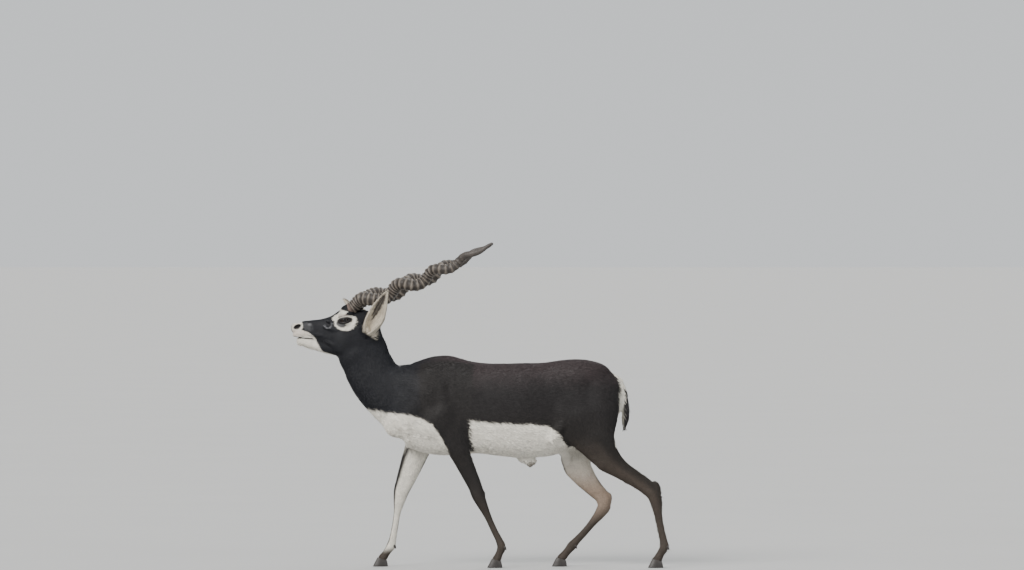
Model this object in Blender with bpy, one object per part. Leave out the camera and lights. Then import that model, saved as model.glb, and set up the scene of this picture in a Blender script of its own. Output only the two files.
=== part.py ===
"""A life-size male blackbuck (Antilope cervicapra), walking with its nose raised.

The flesh is one closed shape, worked out from lofted limbs and rounded muscles
that blend into each other. It is meshed once and parted by thin cuts into head,
neck, trunk, tail, ears and legs. Eyes, horns, hoof claws and dewclaws are pieces
of their own, set against the flesh with a small gap.

Sizes below are centimetres, measured from the floor (z), from the middle of the
stance (x, nose at minus x) and from the animal's own middle plane (y, its left
side at minus y). The objects themselves are in metres.
"""

import math

import bmesh
import bpy
import numpy as np
from mathutils import Matrix, Vector

CM = 0.01
GAP = 0.03  # between pieces that touch

# ---- named sizes -----------------------------------------------------------

EYE_AT = (-48.2, 3.35, 88.1)
EYE_RADIUS = 1.72
LID_THICKNESS = 0.26

HORN_BASE = (-47.4, 2.35, 92.2)
HORN_TIP = (4.4, 16.0, 115.5)
HORN_TURNS = 3.66  # turns for each whole length, growing towards the tip
HORN_TURNS_GROWTH = 0.76
HORN_FIRST_CREST = 0.10  # share of the length where the first bend is highest
HORN_COIL = 1.45
FAR_HORN_LAG = 0.30  # of a turn

HEAD_CUT = ((-49.5, 73.0), (-34.6, 85.2))
NECK_CUT = ((-37.5, 52.0), (-24.0, 74.6))
TAIL_CUT = ((45.6, 70.5), (50.2, 65.6))

# Each row: x, z, half depth towards the front or underside, half depth towards
# the rear or back, half width, and the y of the middle.
TRUNK = (
    (-31.5, 58.0, 7.5, 7.5, 4.4, 0),
    (-27.5, 58.5, 13.2, 11.5, 7.2, 0),
    (-21.5, 58.0, 16.4, 15.4, 8.5, 0),
    (-14.5, 57.5, 17.6, 17.2, 9.0, 0),
    (-8.0, 57.0, 17.2, 17.2, 9.3, 0),
    (0.0, 56.5, 16.1, 16.5, 9.6, 0),
    (8.0, 56.0, 16.5, 16.8, 10.0, 0),
    (16.0, 56.0, 17.2, 17.0, 9.9, 0),
    (24.0, 57.5, 17.6, 16.2, 9.1, 0),
    (31.0, 60.0, 15.5, 14.2, 8.4, 0),
    (38.0, 61.0, 12.0, 12.3, 7.8, 0),
    (44.0, 60.5, 9.0, 9.0, 6.0, 0),
)
NECK = (
    (-44.5, 83.0, 6.6, 6.4, 4.0, 0),
    (-42.6, 79.6, 8.4, 8.2, 4.5, 0),
    (-40.2, 72.6, 9.0, 8.9, 5.2, 0),
    (-36.6, 66.2, 9.3, 9.6, 6.2, 0),
    (-31.0, 61.5, 10.6, 12.5, 7.2, 0),
    (-24.0, 58.5, 12.0, 14.5, 7.6, 0),
)
HEAD = (
    (-65.4, 84.35, 1.75, 2.0, 1.75, 0),
    (-63.8, 84.3, 2.9, 3.3, 2.15, 0),
    (-61.0, 84.1, 3.5, 4.0, 2.3, 0),
    (-57.5, 83.9, 4.3, 4.6, 2.75, 0),
    (-53.8, 83.6, 5.2, 6.0, 3.4, 0),
    (-50.4, 83.4, 6.2, 8.2, 4.0, 0),
    (-46.2, 83.4, 7.0, 9.3, 4.3, 0),
    (-42.0, 83.4, 6.5, 8.3, 4.3, 0),
    (-38.6, 83.6, 5.2, 5.6, 3.9, 0),
)
JAW = (
    (-64.6, 80.95, 1.1, 1.0, 1.25, 0),
    (-62.6, 80.4, 1.7, 1.5, 1.7, 0),
    (-58.5, 79.4, 2.1, 1.9, 2.05, 0),
    (-53.5, 78.6, 2.8, 2.4, 2.7, 0),
    (-49.5, 78.6, 3.7, 3.0, 3.3, 0),
)
FORELEG_LEFT = (
    (-13.6, 55.0, 6.8, 6.6, 3.0, -6.2),
    (-10.6, 49.0, 5.6, 5.4, 3.0, -6.4),
    (-8.3, 43.6, 4.3, 3.9, 2.8, -6.3),
    (-6.0, 38.5, 3.5, 3.3, 2.4, -6.1),
    (-3.5, 33.0, 2.9, 2.8, 2.05, -5.9),
    (-1.6, 28.8, 2.55, 2.45, 1.95, -5.7),
    (-0.4, 25.6, 2.5, 2.2, 2.0, -5.6),
    (0.9, 22.4, 1.9, 1.85, 1.7, -5.5),
    (2.4, 19.0, 1.3, 1.45, 1.3, -5.4),
    (4.9, 13.4, 1.1, 1.3, 1.08, -5.3),
    (7.0, 9.2, 1.3, 1.45, 1.25, -5.2),
    (7.7, 7.4, 1.6, 1.65, 1.5, -5.2),
    (7.0, 5.2, 1.35, 1.35, 1.4, -5.2),
    (5.9, 2.6, 1.7, 1.6, 1.65, -5.2),
)
FORELEG_RIGHT = (
    (-19.0, 54.0, 6.6, 6.4, 3.0, 6.2),
    (-20.4, 47.5, 5.6, 5.2, 3.0, 6.3),
    (-22.4, 41.5, 4.9, 4.5, 2.7, 6.2),
    (-24.6, 36.0, 4.15, 3.95, 2.4, 6.0),
    (-26.6, 30.8, 3.45, 3.3, 2.1, 5.8),
    (-28.1, 26.6, 2.9, 2.6, 2.1, 5.6),
    (-28.9, 23.2, 2.15, 2.05, 1.75, 5.5),
    (-29.6, 19.8, 1.3, 1.45, 1.3, 5.4),
    (-30.6, 13.8, 1.1, 1.3, 1.08, 5.3),
    (-31.4, 9.4, 1.3, 1.45, 1.25, 5.2),
    (-31.8, 7.5, 1.6, 1.65, 1.5, 5.2),
    (-33.2, 5.3, 1.35, 1.35, 1.4, 5.2),
    (-35.0, 2.6, 1.7, 1.6, 1.65, 5.2),
)
HINDLEG_LEFT = (
    (38.5, 54.0, 9.5, 8.6, 3.6, -5.4),
    (41.2, 46.0, 8.0, 7.0, 3.4, -5.9),
    (44.8, 39.8, 5.6, 5.2, 3.0, -6.2),
    (49.8, 35.3, 3.6, 3.5, 2.4, -6.1),
    (55.0, 31.8, 2.95, 3.0, 2.05, -6.0),
    (59.0, 29.0, 2.7, 2.9, 1.95, -5.9),
    (61.7, 26.2, 2.45, 2.9, 2.05, -5.8),
    (62.8, 22.8, 1.95, 2.2, 1.8, -5.7),
    (63.4, 19.2, 1.45, 1.6, 1.35, -5.6),
    (64.5, 13.4, 1.2, 1.4, 1.12, -5.5),
    (65.4, 9.3, 1.4, 1.5, 1.3, -5.4),
    (65.7, 7.5, 1.65, 1.7, 1.52, -5.4),
    (64.6, 5.3, 1.4, 1.4, 1.4, -5.4),
    (63.2, 2.6, 1.7, 1.6, 1.65, -5.4),
)
HINDLEG_RIGHT = (
    (36.0, 54.0, 9.5, 8.6, 3.6, 5.4),
    (34.0, 46.0, 8.6, 7.6, 3.5, 5.9),
    (33.8, 39.0, 6.2, 5.8, 3.0, 6.2),
    (37.2, 32.4, 4.3, 4.0, 2.45, 6.1),
    (41.0, 27.6, 3.0, 3.1, 2.05, 6.0),
    (43.6, 24.8, 2.6, 2.8, 1.95, 5.9),
    (44.4, 22.2, 2.4, 2.8, 2.05, 5.8),
    (43.1, 19.3, 1.95, 2.15, 1.8, 5.7),
    (40.9, 16.5, 1.45, 1.6, 1.35, 5.6),
    (37.0, 11.9, 1.2, 1.4, 1.12, 5.5),
    (34.2, 8.9, 1.4, 1.5, 1.3, 5.4),
    (33.0, 7.5, 1.65, 1.7, 1.52, 5.4),
    (31.2, 5.3, 1.4, 1.4, 1.4, 5.4),
    (29.0, 2.6, 1.7, 1.6, 1.65, 5.4),
)
TAIL = (
    (44.5, 67.5, 2.4, 2.4, 2.2, 0),
    (48.0, 66.8, 1.9, 2.0, 1.9, 0),
    (50.4, 63.6, 1.5, 1.6, 1.7, 0),
    (51.6, 58.8, 1.4, 1.5, 1.6, 0),
    (51.9, 54.0, 1.5, 1.5, 1.5, 0),
    (51.6, 50.6, 0.9, 0.9, 0.9, 0),
)

# Muscles and bony points: middle (x, y, z), half sizes, pitch in degrees, blend.
# A y above zero stands for both sides.
MUSCLES = (
    ("withers", (-14.5, 0.0, 69.5), (9.0, 3.4, 5.2), 4, 4.0),
    ("shoulder_blade", (-17.5, 5.6, 62.5), (5.2, 3.2, 10.5), 14, 3.0),
    ("shoulder_point", (-25.2, 5.0, 54.5), (6.0, 3.4, 6.2), 0, 3.0),
    ("upper_arm", (-15.5, 6.3, 52.5), (7.4, 3.0, 5.6), 20, 2.5),
    ("breast", (-29.0, 2.4, 50.4), (5.2, 3.2, 3.8), 30, 3.8),
    ("croup", (35.0, 1.9, 68.4), (10.8, 5.0, 5.2), 8, 3.4),
    ("thigh_front", (33.5, 5.4, 54.0), (8.6, 3.5, 10.0), -10, 3.0),
    ("thigh_rear", (43.3, 4.6, 57.0), (5.6, 3.5, 10.4), 8, 3.2),
    ("scrotum", (37.0, 0.0, 46.5), (2.2, 1.9, 3.2), 0, 1.2),
    ("sheath", (16.6, 0.0, 38.3), (3.6, 1.3, 1.7), -16, 1.4),
    ("cheek", (-49.0, 2.7, 80.2), (4.6, 1.7, 4.4), -28, 1.4),
    ("cheekbone", (-52.4, 3.1, 84.9), (3.6, 0.85, 0.8), -14, 0.9),
    ("brow", (-48.0, 3.3, 90.1), (2.7, 1.5, 1.3), 14, 0.8),
    ("orbit", (-48.0, 3.3, 88.2), (2.55, 1.75, 2.3), 12, 0.7),
    ("horn_seat", (-47.2, 2.2, 91.5), (2.9, 2.2, 2.3), 24, 0.9),
    ("poll", (-40.6, 0.0, 89.0), (3.4, 3.2, 2.6), -30, 1.6),
    ("ear_seat", (-41.2, 4.3, 84.6), (2.3, 1.6, 2.8), 20, 0.9),
    ("nose_pad", (-66.2, 0.0, 85.4), (1.35, 1.5, 1.75), -8, 0.5),
    ("nostril_wing", (-64.7, 1.25, 86.1), (1.85, 0.85, 1.1), 18, 0.45),
    ("upper_lip", (-64.4, 1.15, 83.2), (2.5, 1.1, 1.25), 6, 0.5),
    ("chin", (-63.6, 0.0, 80.4), (1.9, 1.35, 1.35), 20, 0.5),
    ("throat", (-45.6, 0.0, 75.6), (5.2, 3.2, 2.6), 38, 3.0),
)
# The heel of the hock and the pea bone behind the knee.
HEELS = (
    ((62.9, -5.9, 29.2), (1.15, 0.95, 2.1), 34),
    ((46.1, 5.9, 24.4), (1.15, 0.95, 2.1), 4),
    ((1.0, -5.6, 26.4), (0.9, 0.85, 1.2), 20),
    ((-26.6, 5.6, 26.8), (0.9, 0.85, 1.2), -8),
)

# Ears: root, tip, way the cup opens.
EAR_LEFT = ((-40.1, -5.2, 83.8), (-32.9, -14.0, 98.4), (-0.45, -1.0, 0.1))
EAR_RIGHT = ((-40.6, 4.9, 85.2), (-49.0, 14.6, 95.4), (-0.75, 0.45, -0.3))
EAR_HALF_WIDTH = 3.05
EAR_WALL = 0.34

# Feet: y of the middle, x of the toes' tip, which way round is the same for all.
HOOF_LENGTH = 5.4
HOOF_HALF_WIDTH = 0.98
HOOF_SPREAD = 1.08
HOOF_TOE_HEIGHT = 3.1
HOOF_HEEL_HEIGHT = 2.2
FETLOCKS = {
    "foreleg_left": (7.7, 7.4),
    "foreleg_right": (-31.8, 7.5),
    "hindleg_left": (65.7, 7.5),
    "hindleg_right": (33.0, 7.5),
}
FEET = {
    "foreleg_left": (2.6, -5.2),
    "foreleg_right": (-38.4, 5.2),
    "hindleg_left": (59.9, -5.4),
    "hindleg_right": (25.7, 5.4),
}


# ---- shapes as signed distances ---------------------------------------------


def smooth_rows(rows, count):
    """Rows joined by a smooth curve and read at count even places."""
    rows = np.array(rows, float)
    step = np.linalg.norm(np.diff(rows[:, :2], axis=0), axis=1)
    at = np.concatenate([[0], np.cumsum(step)])
    slope = np.gradient(rows, at, axis=0)
    t = np.linspace(0, at[-1], count)
    i = np.clip(np.searchsorted(at, t, "right") - 1, 0, len(at) - 2)
    h = (at[i + 1] - at[i])[:, None]
    u = (t[:, None] - at[i][:, None]) / h
    return (
        (2 * u**3 - 3 * u**2 + 1) * rows[i]
        + (u**3 - 2 * u**2 + u) * h * slope[i]
        + (-2 * u**3 + 3 * u**2) * rows[i + 1]
        + (u**3 - u**2) * h * slope[i + 1]
    )


class Loft:
    """Sections along a curve in an upright plane, each a rounded oval."""

    def __init__(self, rows, power=2.0, count=44, caps=(1.0, 1.0), reach=5.0):
        s = smooth_rows(rows, count)
        self.c, self.r = s[:, :2], s[:, 2:]
        self.ab = np.diff(self.c, axis=0)
        self.len = np.linalg.norm(self.ab, axis=1)
        self.way = self.ab / self.len[:, None]
        self.power = power
        self.cap = caps[0] * self.r[0, :2].mean(), caps[1] * self.r[-1, :2].mean()
        big = self.r[:, :2].max() + reach
        self.lo = np.array(
            [self.c[:, 0].min() - big, (self.r[:, 3] - self.r[:, 2]).min() - reach, self.c[:, 1].min() - big]
        )
        self.hi = np.array(
            [self.c[:, 0].max() + big, (self.r[:, 3] + self.r[:, 2]).max() + reach, self.c[:, 1].max() + big]
        )

    def __call__(self, p):
        out = np.empty(len(p))
        for k in range(0, len(p), 20000):
            out[k : k + 20000] = self.part(p[k : k + 20000])
        return out

    def part(self, p):
        q = p[:, [0, 2]]
        rel = q[:, None] - self.c[None, :-1]
        along = (rel * self.way).sum(2)
        t = np.clip(along, 0, self.len)
        off = rel - t[..., None] * self.way
        i = np.argmin((off**2).sum(2), axis=1)
        n = np.arange(len(p))
        share = (t[n, i] / self.len[i])[:, None]
        a, b, w, y = (self.r[i] * (1 - share) + self.r[i + 1] * share).T
        way, off = self.way[i], off[n, i]
        u = off[:, 0] * way[:, 1] - off[:, 1] * way[:, 0]
        e = (off * way).sum(1)
        v = p[:, 1] - y
        half = np.where(u > 0, a, b)
        r = ((np.abs(u) / half) ** self.power + (np.abs(v) / w) ** self.power) ** (2 / self.power)
        cap = np.where(e < 0, self.cap[0], self.cap[1])
        r = np.sqrt(np.maximum(r + (e / cap) ** 2, 1e-12))
        return np.sqrt(u**2 + v**2 + e**2) * (1 - 1 / r)


class Ball:
    """An ellipsoid, pitched nose up or down, on one side or mirrored to both."""

    def __init__(self, middle, half, pitch=0.0, both=False, reach=5.0):
        self.m, self.h, self.both = np.array(middle, float), np.array(half, float), both
        self.cos, self.sin = math.cos(math.radians(pitch)), math.sin(math.radians(pitch))
        far = self.h.max() + reach
        self.lo, self.hi = self.m - far, self.m + far
        if both:
            self.lo[1], self.hi[1] = -self.hi[1], self.hi[1]

    def __call__(self, p):
        y = np.abs(p[:, 1]) if self.both else p[:, 1]
        x, z = p[:, 0] - self.m[0], p[:, 2] - self.m[2]
        q = np.stack([x * self.cos + z * self.sin, y - self.m[1], z * self.cos - x * self.sin], 1)
        r = np.maximum(np.linalg.norm(q / self.h, axis=1), 1e-6)
        return np.linalg.norm(q, axis=1) * (1 - 1 / r)


class Ear:
    """A leaf-shaped cup: a bent wall, tubular at the root, open further up."""

    def __init__(self, root, tip, opens, reach=3.0):
        self.root, self.tip = np.array(root, float), np.array(tip, float)
        self.up = self.tip - self.root
        self.length = np.linalg.norm(self.up)
        self.up /= self.length
        o = np.array(opens, float)
        o -= o @ self.up * self.up
        self.open = o / np.linalg.norm(o)
        self.side = np.cross(self.up, self.open)
        both = np.stack([self.root, self.tip])
        far = EAR_HALF_WIDTH + reach
        self.lo, self.hi = both.min(0) - far, both.max(0) + far

    def section(self, t):
        """Half width of the flattened leaf, half angle of the wall, wall."""
        t = np.clip(t, 0, 1)
        leaf = EAR_HALF_WIDTH * (0.52 + 0.48 * np.sin(np.pi * np.clip(t / 0.86, 0, 1) ** 0.9))
        leaf = leaf * np.sqrt(np.clip(1 - ((t - 0.45) / 0.55).clip(0) ** 2.3, 0.004, 1))
        angle = np.radians(150 - 78 * np.clip(t / 0.55, 0, 1) ** 0.7)
        wall = EAR_WALL * (1.25 - 0.55 * t)
        return leaf, angle, wall

    def __call__(self, p):
        q = p - self.root
        s, o, h = q @ self.side, q @ self.open, q @ self.up
        t = h / self.length
        leaf, angle, wall = self.section(t)
        radius = leaf / np.sin(np.minimum(angle, np.pi / 2))
        # The wall's back stays near the axis, so a flatter wall doesn't drift away.
        o = o - radius * np.cos(np.minimum(angle, np.pi / 2)) + 0.15 * radius
        theta = np.arctan2(np.abs(s), -o)
        ring = np.abs(np.hypot(s, o) - radius)
        end_s, end_o = radius * np.sin(angle), -radius * np.cos(angle)
        edge = np.hypot(np.abs(s) - end_s, o - end_o)
        d = np.where(theta < angle, ring, edge)
        over = np.maximum(h - self.length, 0) + np.maximum(-h, 0)
        return np.hypot(d, over) - wall


def smooth_min(a, b, k):
    h = np.clip(0.5 + 0.5 * (b - a) / k, 0, 1)
    return b * (1 - h) + a * h - k * h * (1 - h)


def near(shape, p, far=50.0):
    """The shape's distance, worked out only around it."""
    d = np.full(len(p), far)
    inside = ((p >= shape.lo) & (p <= shape.hi)).all(1)
    if inside.any():
        d[inside] = shape(p[inside])
    return d


TRUNK_LOFT = Loft(TRUNK, power=2.25, count=60, caps=(0.75, 0.85))
FLESH = [
    (Loft(NECK, power=2.1, caps=(0.6, 0.5)), 3.2),
    (Loft(HEAD, power=2.35, caps=(0.7, 0.6)), 1.6),
    (Loft(JAW, power=2.1, caps=(0.9, 0.5)), 0.8),
    (Loft(FORELEG_LEFT, caps=(0.5, 0.2), count=64), 2.2),
    (Loft(FORELEG_RIGHT, caps=(0.5, 0.2), count=64), 2.2),
    (Loft(HINDLEG_LEFT, caps=(0.6, 0.2), count=64), 2.6),
    (Loft(HINDLEG_RIGHT, caps=(0.6, 0.2), count=64), 2.6),
    (Loft(TAIL, caps=(0.5, 0.9)), 1.4),
]
FLESH += [(Ball(m, h, pitch, both=m[1] > 0), k) for _, m, h, pitch, k in MUSCLES]
FLESH += [(Ball(m, h, pitch), 0.7) for m, h, pitch in HEELS]
FLESH += [(Ball((41.0, 5.2, 43.8), (3.2, 2.2, 5.2)), 3.0)]  # the far thigh running into its gaskin

EYE_SHAPE = Ball(EYE_AT, (EYE_RADIUS,) * 3, both=True)
LID_SHAPE = Ball(EYE_AT, (EYE_RADIUS + LID_THICKNESS,) * 3, both=True)
LID_OPENING = ((EYE_AT[0] - 0.1, EYE_AT[1] + 1.9, EYE_AT[2]), (1.86, 1.9, 0.86), 10)
EYE_CLEARANCE = (EYE_AT, (EYE_RADIUS + GAP,) * 3, 0)
MOUTH_CORNER = (-59.9, 81.55)
MOUTH_FRONT = (-67.4, 82.5)


def mouth_groove(p, width):
    """Distance from the line of the lips, on both sides and round the front."""
    a, b = np.array(MOUTH_FRONT), np.array(MOUTH_CORNER)
    ab = b - a
    q = p[:, [0, 2]] - a
    t = np.clip(q @ ab / (ab @ ab), 0, 1)
    bow = 0.22 * np.sin(np.pi * t)
    off = q - t[:, None] * ab
    return np.hypot(off[:, 0], off[:, 1] + bow) - width


def flesh(p):
    """Signed distance of the flesh, without ears, its lids still shut, in centimetres."""
    d = near(TRUNK_LOFT, p)
    for shape, k in FLESH:
        d = smooth_min(d, near(shape, p), k)
    return smooth_min(d, near(LID_SHAPE, p), 0.35)


# ---- meshing -----------------------------------------------------------------


def edge_points(d, axes):
    """Cell by cell, the mean of the places where the cell's edges cross the surface."""
    shape = np.array(d.shape) - 1
    total = np.zeros((*shape, 3))
    count = np.zeros(shape)
    crossings = []
    inside = d < 0
    grid = np.meshgrid(*axes, indexing="ij")
    for a in range(3):
        lo = [slice(None)] * 3
        hi = [slice(None)] * 3
        lo[a], hi[a] = slice(None, -1), slice(1, None)
        lo, hi = tuple(lo), tuple(hi)
        cross = inside[lo] != inside[hi]
        at = np.argwhere(cross)
        one = d[lo][cross]
        two = d[hi][cross]
        t = one / (one - two)
        point = np.stack([g[lo][cross] for g in grid], 1)
        point[:, a] += t * (axes[a][at[:, a] + 1] - axes[a][at[:, a]])
        b, c = [k for k in range(3) if k != a]
        for db in (0, 1):
            for dc in (0, 1):
                cell = at.copy()
                cell[:, b] -= db
                cell[:, c] -= dc
                fine = (cell >= 0).all(1) & (cell < shape).all(1)
                index = tuple(cell[fine].T)
                np.add.at(total, index, point[fine])
                np.add.at(count, index, 1)
        crossings.append((a, at, inside[lo][cross]))
    return total, count, crossings


def surface(field, axes, skip=4):
    """Vertices and quads of the field's zero level, one vertex a cell."""
    rough = [np.unique(np.r_[a[::skip], a[-1]]) for a in axes]
    places = [np.searchsorted(a, r) for a, r in zip(axes, rough)]
    grid = np.stack(np.meshgrid(*rough, indexing="ij"), -1)
    d = field(grid.reshape(-1, 3)).reshape(grid.shape[:3])
    reach = 1.1 * math.sqrt(sum(np.diff(r).max() ** 2 for r in rough))
    close = np.abs(d) < reach
    cells = np.zeros(np.array(close.shape) - 1, bool)
    for i in (0, 1):
        for j in (0, 1):
            for k in (0, 1):
                cells |= close[
                    i : i + cells.shape[0], j : j + cells.shape[1], k : k + cells.shape[2]
                ]
    want = np.zeros([len(a) for a in axes], bool)
    full = np.zeros(want.shape)
    for i, j, k in np.argwhere(cells):
        want[
            places[0][i] : places[0][i + 1] + 1,
            places[1][j] : places[1][j + 1] + 1,
            places[2][k] : places[2][k + 1] + 1,
        ] = True
    which = [np.clip(np.searchsorted(r, a, "right") - 1, 0, len(r) - 1) for a, r in zip(axes, rough)]
    full[:] = np.where(d[np.ix_(*which)] < 0, -50.0, 50.0)
    at = np.argwhere(want)
    p = np.stack([axes[k][at[:, k]] for k in range(3)], 1)
    full[tuple(at.T)] = field(p)
    total, count, crossings = edge_points(full, axes)
    has = count > 0
    number = np.full(has.shape, -1)
    number[has] = np.arange(has.sum())
    points = total[has] / count[has][:, None]
    quads = []
    for a, at, starts_inside in crossings:
        b, c = [(1, 2), (2, 0), (0, 1)][a]
        ring = []
        for db, dc in ((1, 1), (0, 1), (0, 0), (1, 0)):
            cell = at.copy()
            cell[:, b] -= db
            cell[:, c] -= dc
            ring.append(number[tuple(np.clip(cell, 0, np.array(has.shape) - 1).T)])
        quad = np.stack(ring, 1)
        quad[~starts_inside] = quad[~starts_inside][:, ::-1]
        quads.append(quad)
    return points, np.concatenate(quads)


def gradient(field, p, e=0.03):
    g = np.empty_like(p)
    for k in range(3):
        step = np.zeros(3)
        step[k] = e
        g[:, k] = (field(p + step) - field(p - step)) / (2 * e)
    return g


def settle(field, p, quads, rounds=2, most=0.4):
    """Even out the vertices along the surface, then put them back on it."""
    ends = np.concatenate([quads[:, [0, 1]], quads[:, [1, 2]], quads[:, [2, 3]], quads[:, [3, 0]]])
    ends = np.unique(np.sort(ends, 1), axis=0)
    for _ in range(rounds):
        total = np.zeros_like(p)
        count = np.zeros(len(p))
        for k in range(3):
            total[:, k] = np.bincount(ends[:, 0], p[ends[:, 1], k], len(p)) + np.bincount(
                ends[:, 1], p[ends[:, 0], k], len(p)
            )
        count = np.bincount(ends.ravel(), minlength=len(p))
        p = 0.5 * p + 0.5 * total / count[:, None]
        g = gradient(field, p)
        size = np.maximum((g**2).sum(1), 0.05)
        move = -(field(p) / size)[:, None] * g
        long = np.linalg.norm(move, axis=1)
        move *= np.minimum(1, most / np.maximum(long, 1e-9))[:, None]
        p = p + move
    return p


def mesh_object(name, points, faces):
    mesh = bpy.data.meshes.new(name)
    faces = [[int(i) for i in face] for face in faces]
    mesh.from_pydata((np.asarray(points) * CM).tolist(), [], faces)
    mesh.update()
    obj = bpy.data.objects.new(name, mesh)
    bpy.context.scene.collection.objects.link(obj)
    return obj


def axis(lo, hi, step):
    return np.linspace(lo, hi, int(math.ceil((hi - lo) / step)) + 1)


def meshed(name, field, lo, hi, step):
    axes = [axis(l, h, step) for l, h in zip(lo, hi)]
    low, high = np.array(lo) + 1.5 * step, np.array(hi) - 1.5 * step

    def boxed(p):
        return np.maximum(field(p), np.maximum(low - p, p - high).max(1))

    points, quads = surface(boxed, axes)
    points = settle(boxed, points, quads)
    return mesh_object(name, points, quads)


def evaluated(obj):
    """Put the object's modifiers into its mesh."""
    bpy.context.view_layer.update()
    graph = bpy.context.evaluated_depsgraph_get()
    mesh = bpy.data.meshes.new_from_object(obj.evaluated_get(graph))
    obj.modifiers.clear()
    obj.data = mesh


def remeshed(obj, size):
    """One clean closed skin over the mesh, with no cell shared by two sheets."""
    modifier = obj.modifiers.new("skin", "REMESH")
    modifier.mode = "VOXEL"
    modifier.voxel_size = size * CM
    modifier.adaptivity = 0.0
    evaluated(obj)


def thinned(obj, triangles):
    modifier = obj.modifiers.new("fewer", "DECIMATE")
    modifier.use_collapse_triangulate = True
    obj.data.calc_loop_triangles()
    modifier.ratio = min(1.0, triangles / len(obj.data.loop_triangles))
    evaluated(obj)


def copy_of(obj, name):
    new = obj.copy()
    new.data = obj.data.copy()
    new.name = new.data.name = name
    new.hide_render, new.display_type = False, "TEXTURED"
    bpy.context.scene.collection.objects.link(new)
    return new


def cut(obj, point, normal):
    """Keep what lies on the normal's side of a plane, half a gap off it, and close it."""
    normal = Vector(normal).normalized()
    bm = bmesh.new()
    bm.from_mesh(obj.data)
    bmesh.ops.bisect_plane(
        bm,
        geom=bm.verts[:] + bm.edges[:] + bm.faces[:],
        dist=1e-7,
        plane_co=Vector(point) * CM + normal * (GAP / 2 * CM),
        plane_no=normal,
        clear_inner=True,
    )
    open_edges = [e for e in bm.edges if e.is_boundary]
    bmesh.ops.holes_fill(bm, edges=open_edges, sides=0)
    bmesh.ops.triangulate(bm, faces=[f for f in bm.faces if len(f.verts) > 4])
    bm.to_mesh(obj.data)
    bm.free()


def sagittal(line):
    """Point and normal of a plane across the animal through a line, normal up and forward."""
    (x0, z0), (x1, z1) = line
    return (x0, 0, z0), (-(z1 - z0), 0, x1 - x0)


def keep_nearest(obj, place):
    """Keep only the closed body with a vertex nearest to the place."""
    bm = bmesh.new()
    bm.from_mesh(obj.data)
    place = Vector(place) * CM
    start = min(bm.verts, key=lambda v: (v.co - place).length)
    kept, front = {start}, [start]
    while front:
        v = front.pop()
        for e in v.link_edges:
            w = e.other_vert(v)
            if w not in kept:
                kept.add(w)
                front.append(w)
    bmesh.ops.delete(bm, geom=[v for v in bm.verts if v not in kept], context="VERTS")
    bm.to_mesh(obj.data)
    bm.free()


def boolean(obj, other, operation):
    modifier = obj.modifiers.new(operation.lower(), "BOOLEAN")
    modifier.operation = operation
    modifier.object = other
    evaluated(obj)


def helper(obj):
    obj.hide_render = True
    obj.display_type = "WIRE"
    return obj


def prism(name, outline, y0, y1):
    """A cutter: an outline in the side view, pushed through the animal."""
    n = len(outline)
    points = [(x, y0, z) for x, z in outline] + [(x, y1, z) for x, z in outline]
    faces = [list(range(n)), list(range(2 * n - 1, n - 1, -1))]
    faces += [[i, i + n, (i + 1) % n + n, (i + 1) % n] for i in range(n)]
    obj = mesh_object(name, points, faces)
    bm = bmesh.new()
    bm.from_mesh(obj.data)
    bmesh.ops.recalc_face_normals(bm, faces=bm.faces)
    bm.to_mesh(obj.data)
    bm.free()
    return helper(obj)


def swollen(obj, name, by):
    """A copy grown along its normals, to cut neighbours clear of it."""
    new = copy_of(obj, name)
    bm = bmesh.new()
    bm.from_mesh(new.data)
    bm.normal_update()
    for v in bm.verts:
        v.co += v.normal * (by * CM)
    bm.to_mesh(new.data)
    bm.free()
    return helper(new)


# ---- pieces that aren't flesh --------------------------------------------------


def horn_line(side, t):
    """Middle line of a horn, its half thickness, and its own two cross directions."""
    base = np.array(HORN_BASE) * (1, side, 1)
    tip = np.array(HORN_TIP) * (1, side, 1)
    way = (tip - base) / np.linalg.norm(tip - base)
    up = np.array([0, 0, 1.0]) - way[2] * way
    up /= np.linalg.norm(up)
    out = np.cross(way, up) * (1 if np.cross(way, up)[1] * side > 0 else -1)
    t = np.asarray(t, float)
    s = t - HORN_FIRST_CREST
    lag = FAR_HORN_LAG if side > 0 else 0.0
    turn = 2 * np.pi * (HORN_TURNS * s + HORN_TURNS_GROWTH * s * np.abs(s) - lag * np.clip(t / 0.2, 0, 1))
    coil = HORN_COIL * np.clip(t / 0.12, 0, 1) ** 0.8 * (1 - np.clip((t - 0.45) / 0.55, 0, 1) ** 1.4 * 0.94)
    sag = -1.2 * np.sin(np.pi * t) - 0.4 * np.clip(1 - t / 0.1, 0, 1) ** 2
    middle = (
        base
        + t[:, None] * (tip - base)
        + (coil * np.cos(turn) + sag)[:, None] * up
        + (coil * np.sin(turn))[:, None] * out
    )
    thick = 0.45 + 2.0 * (1 - np.clip(t, 0, 1) ** 2.6) ** 0.8 - 0.2 * np.clip(1 - t / 0.08, 0, 1)
    return middle, thick


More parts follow.
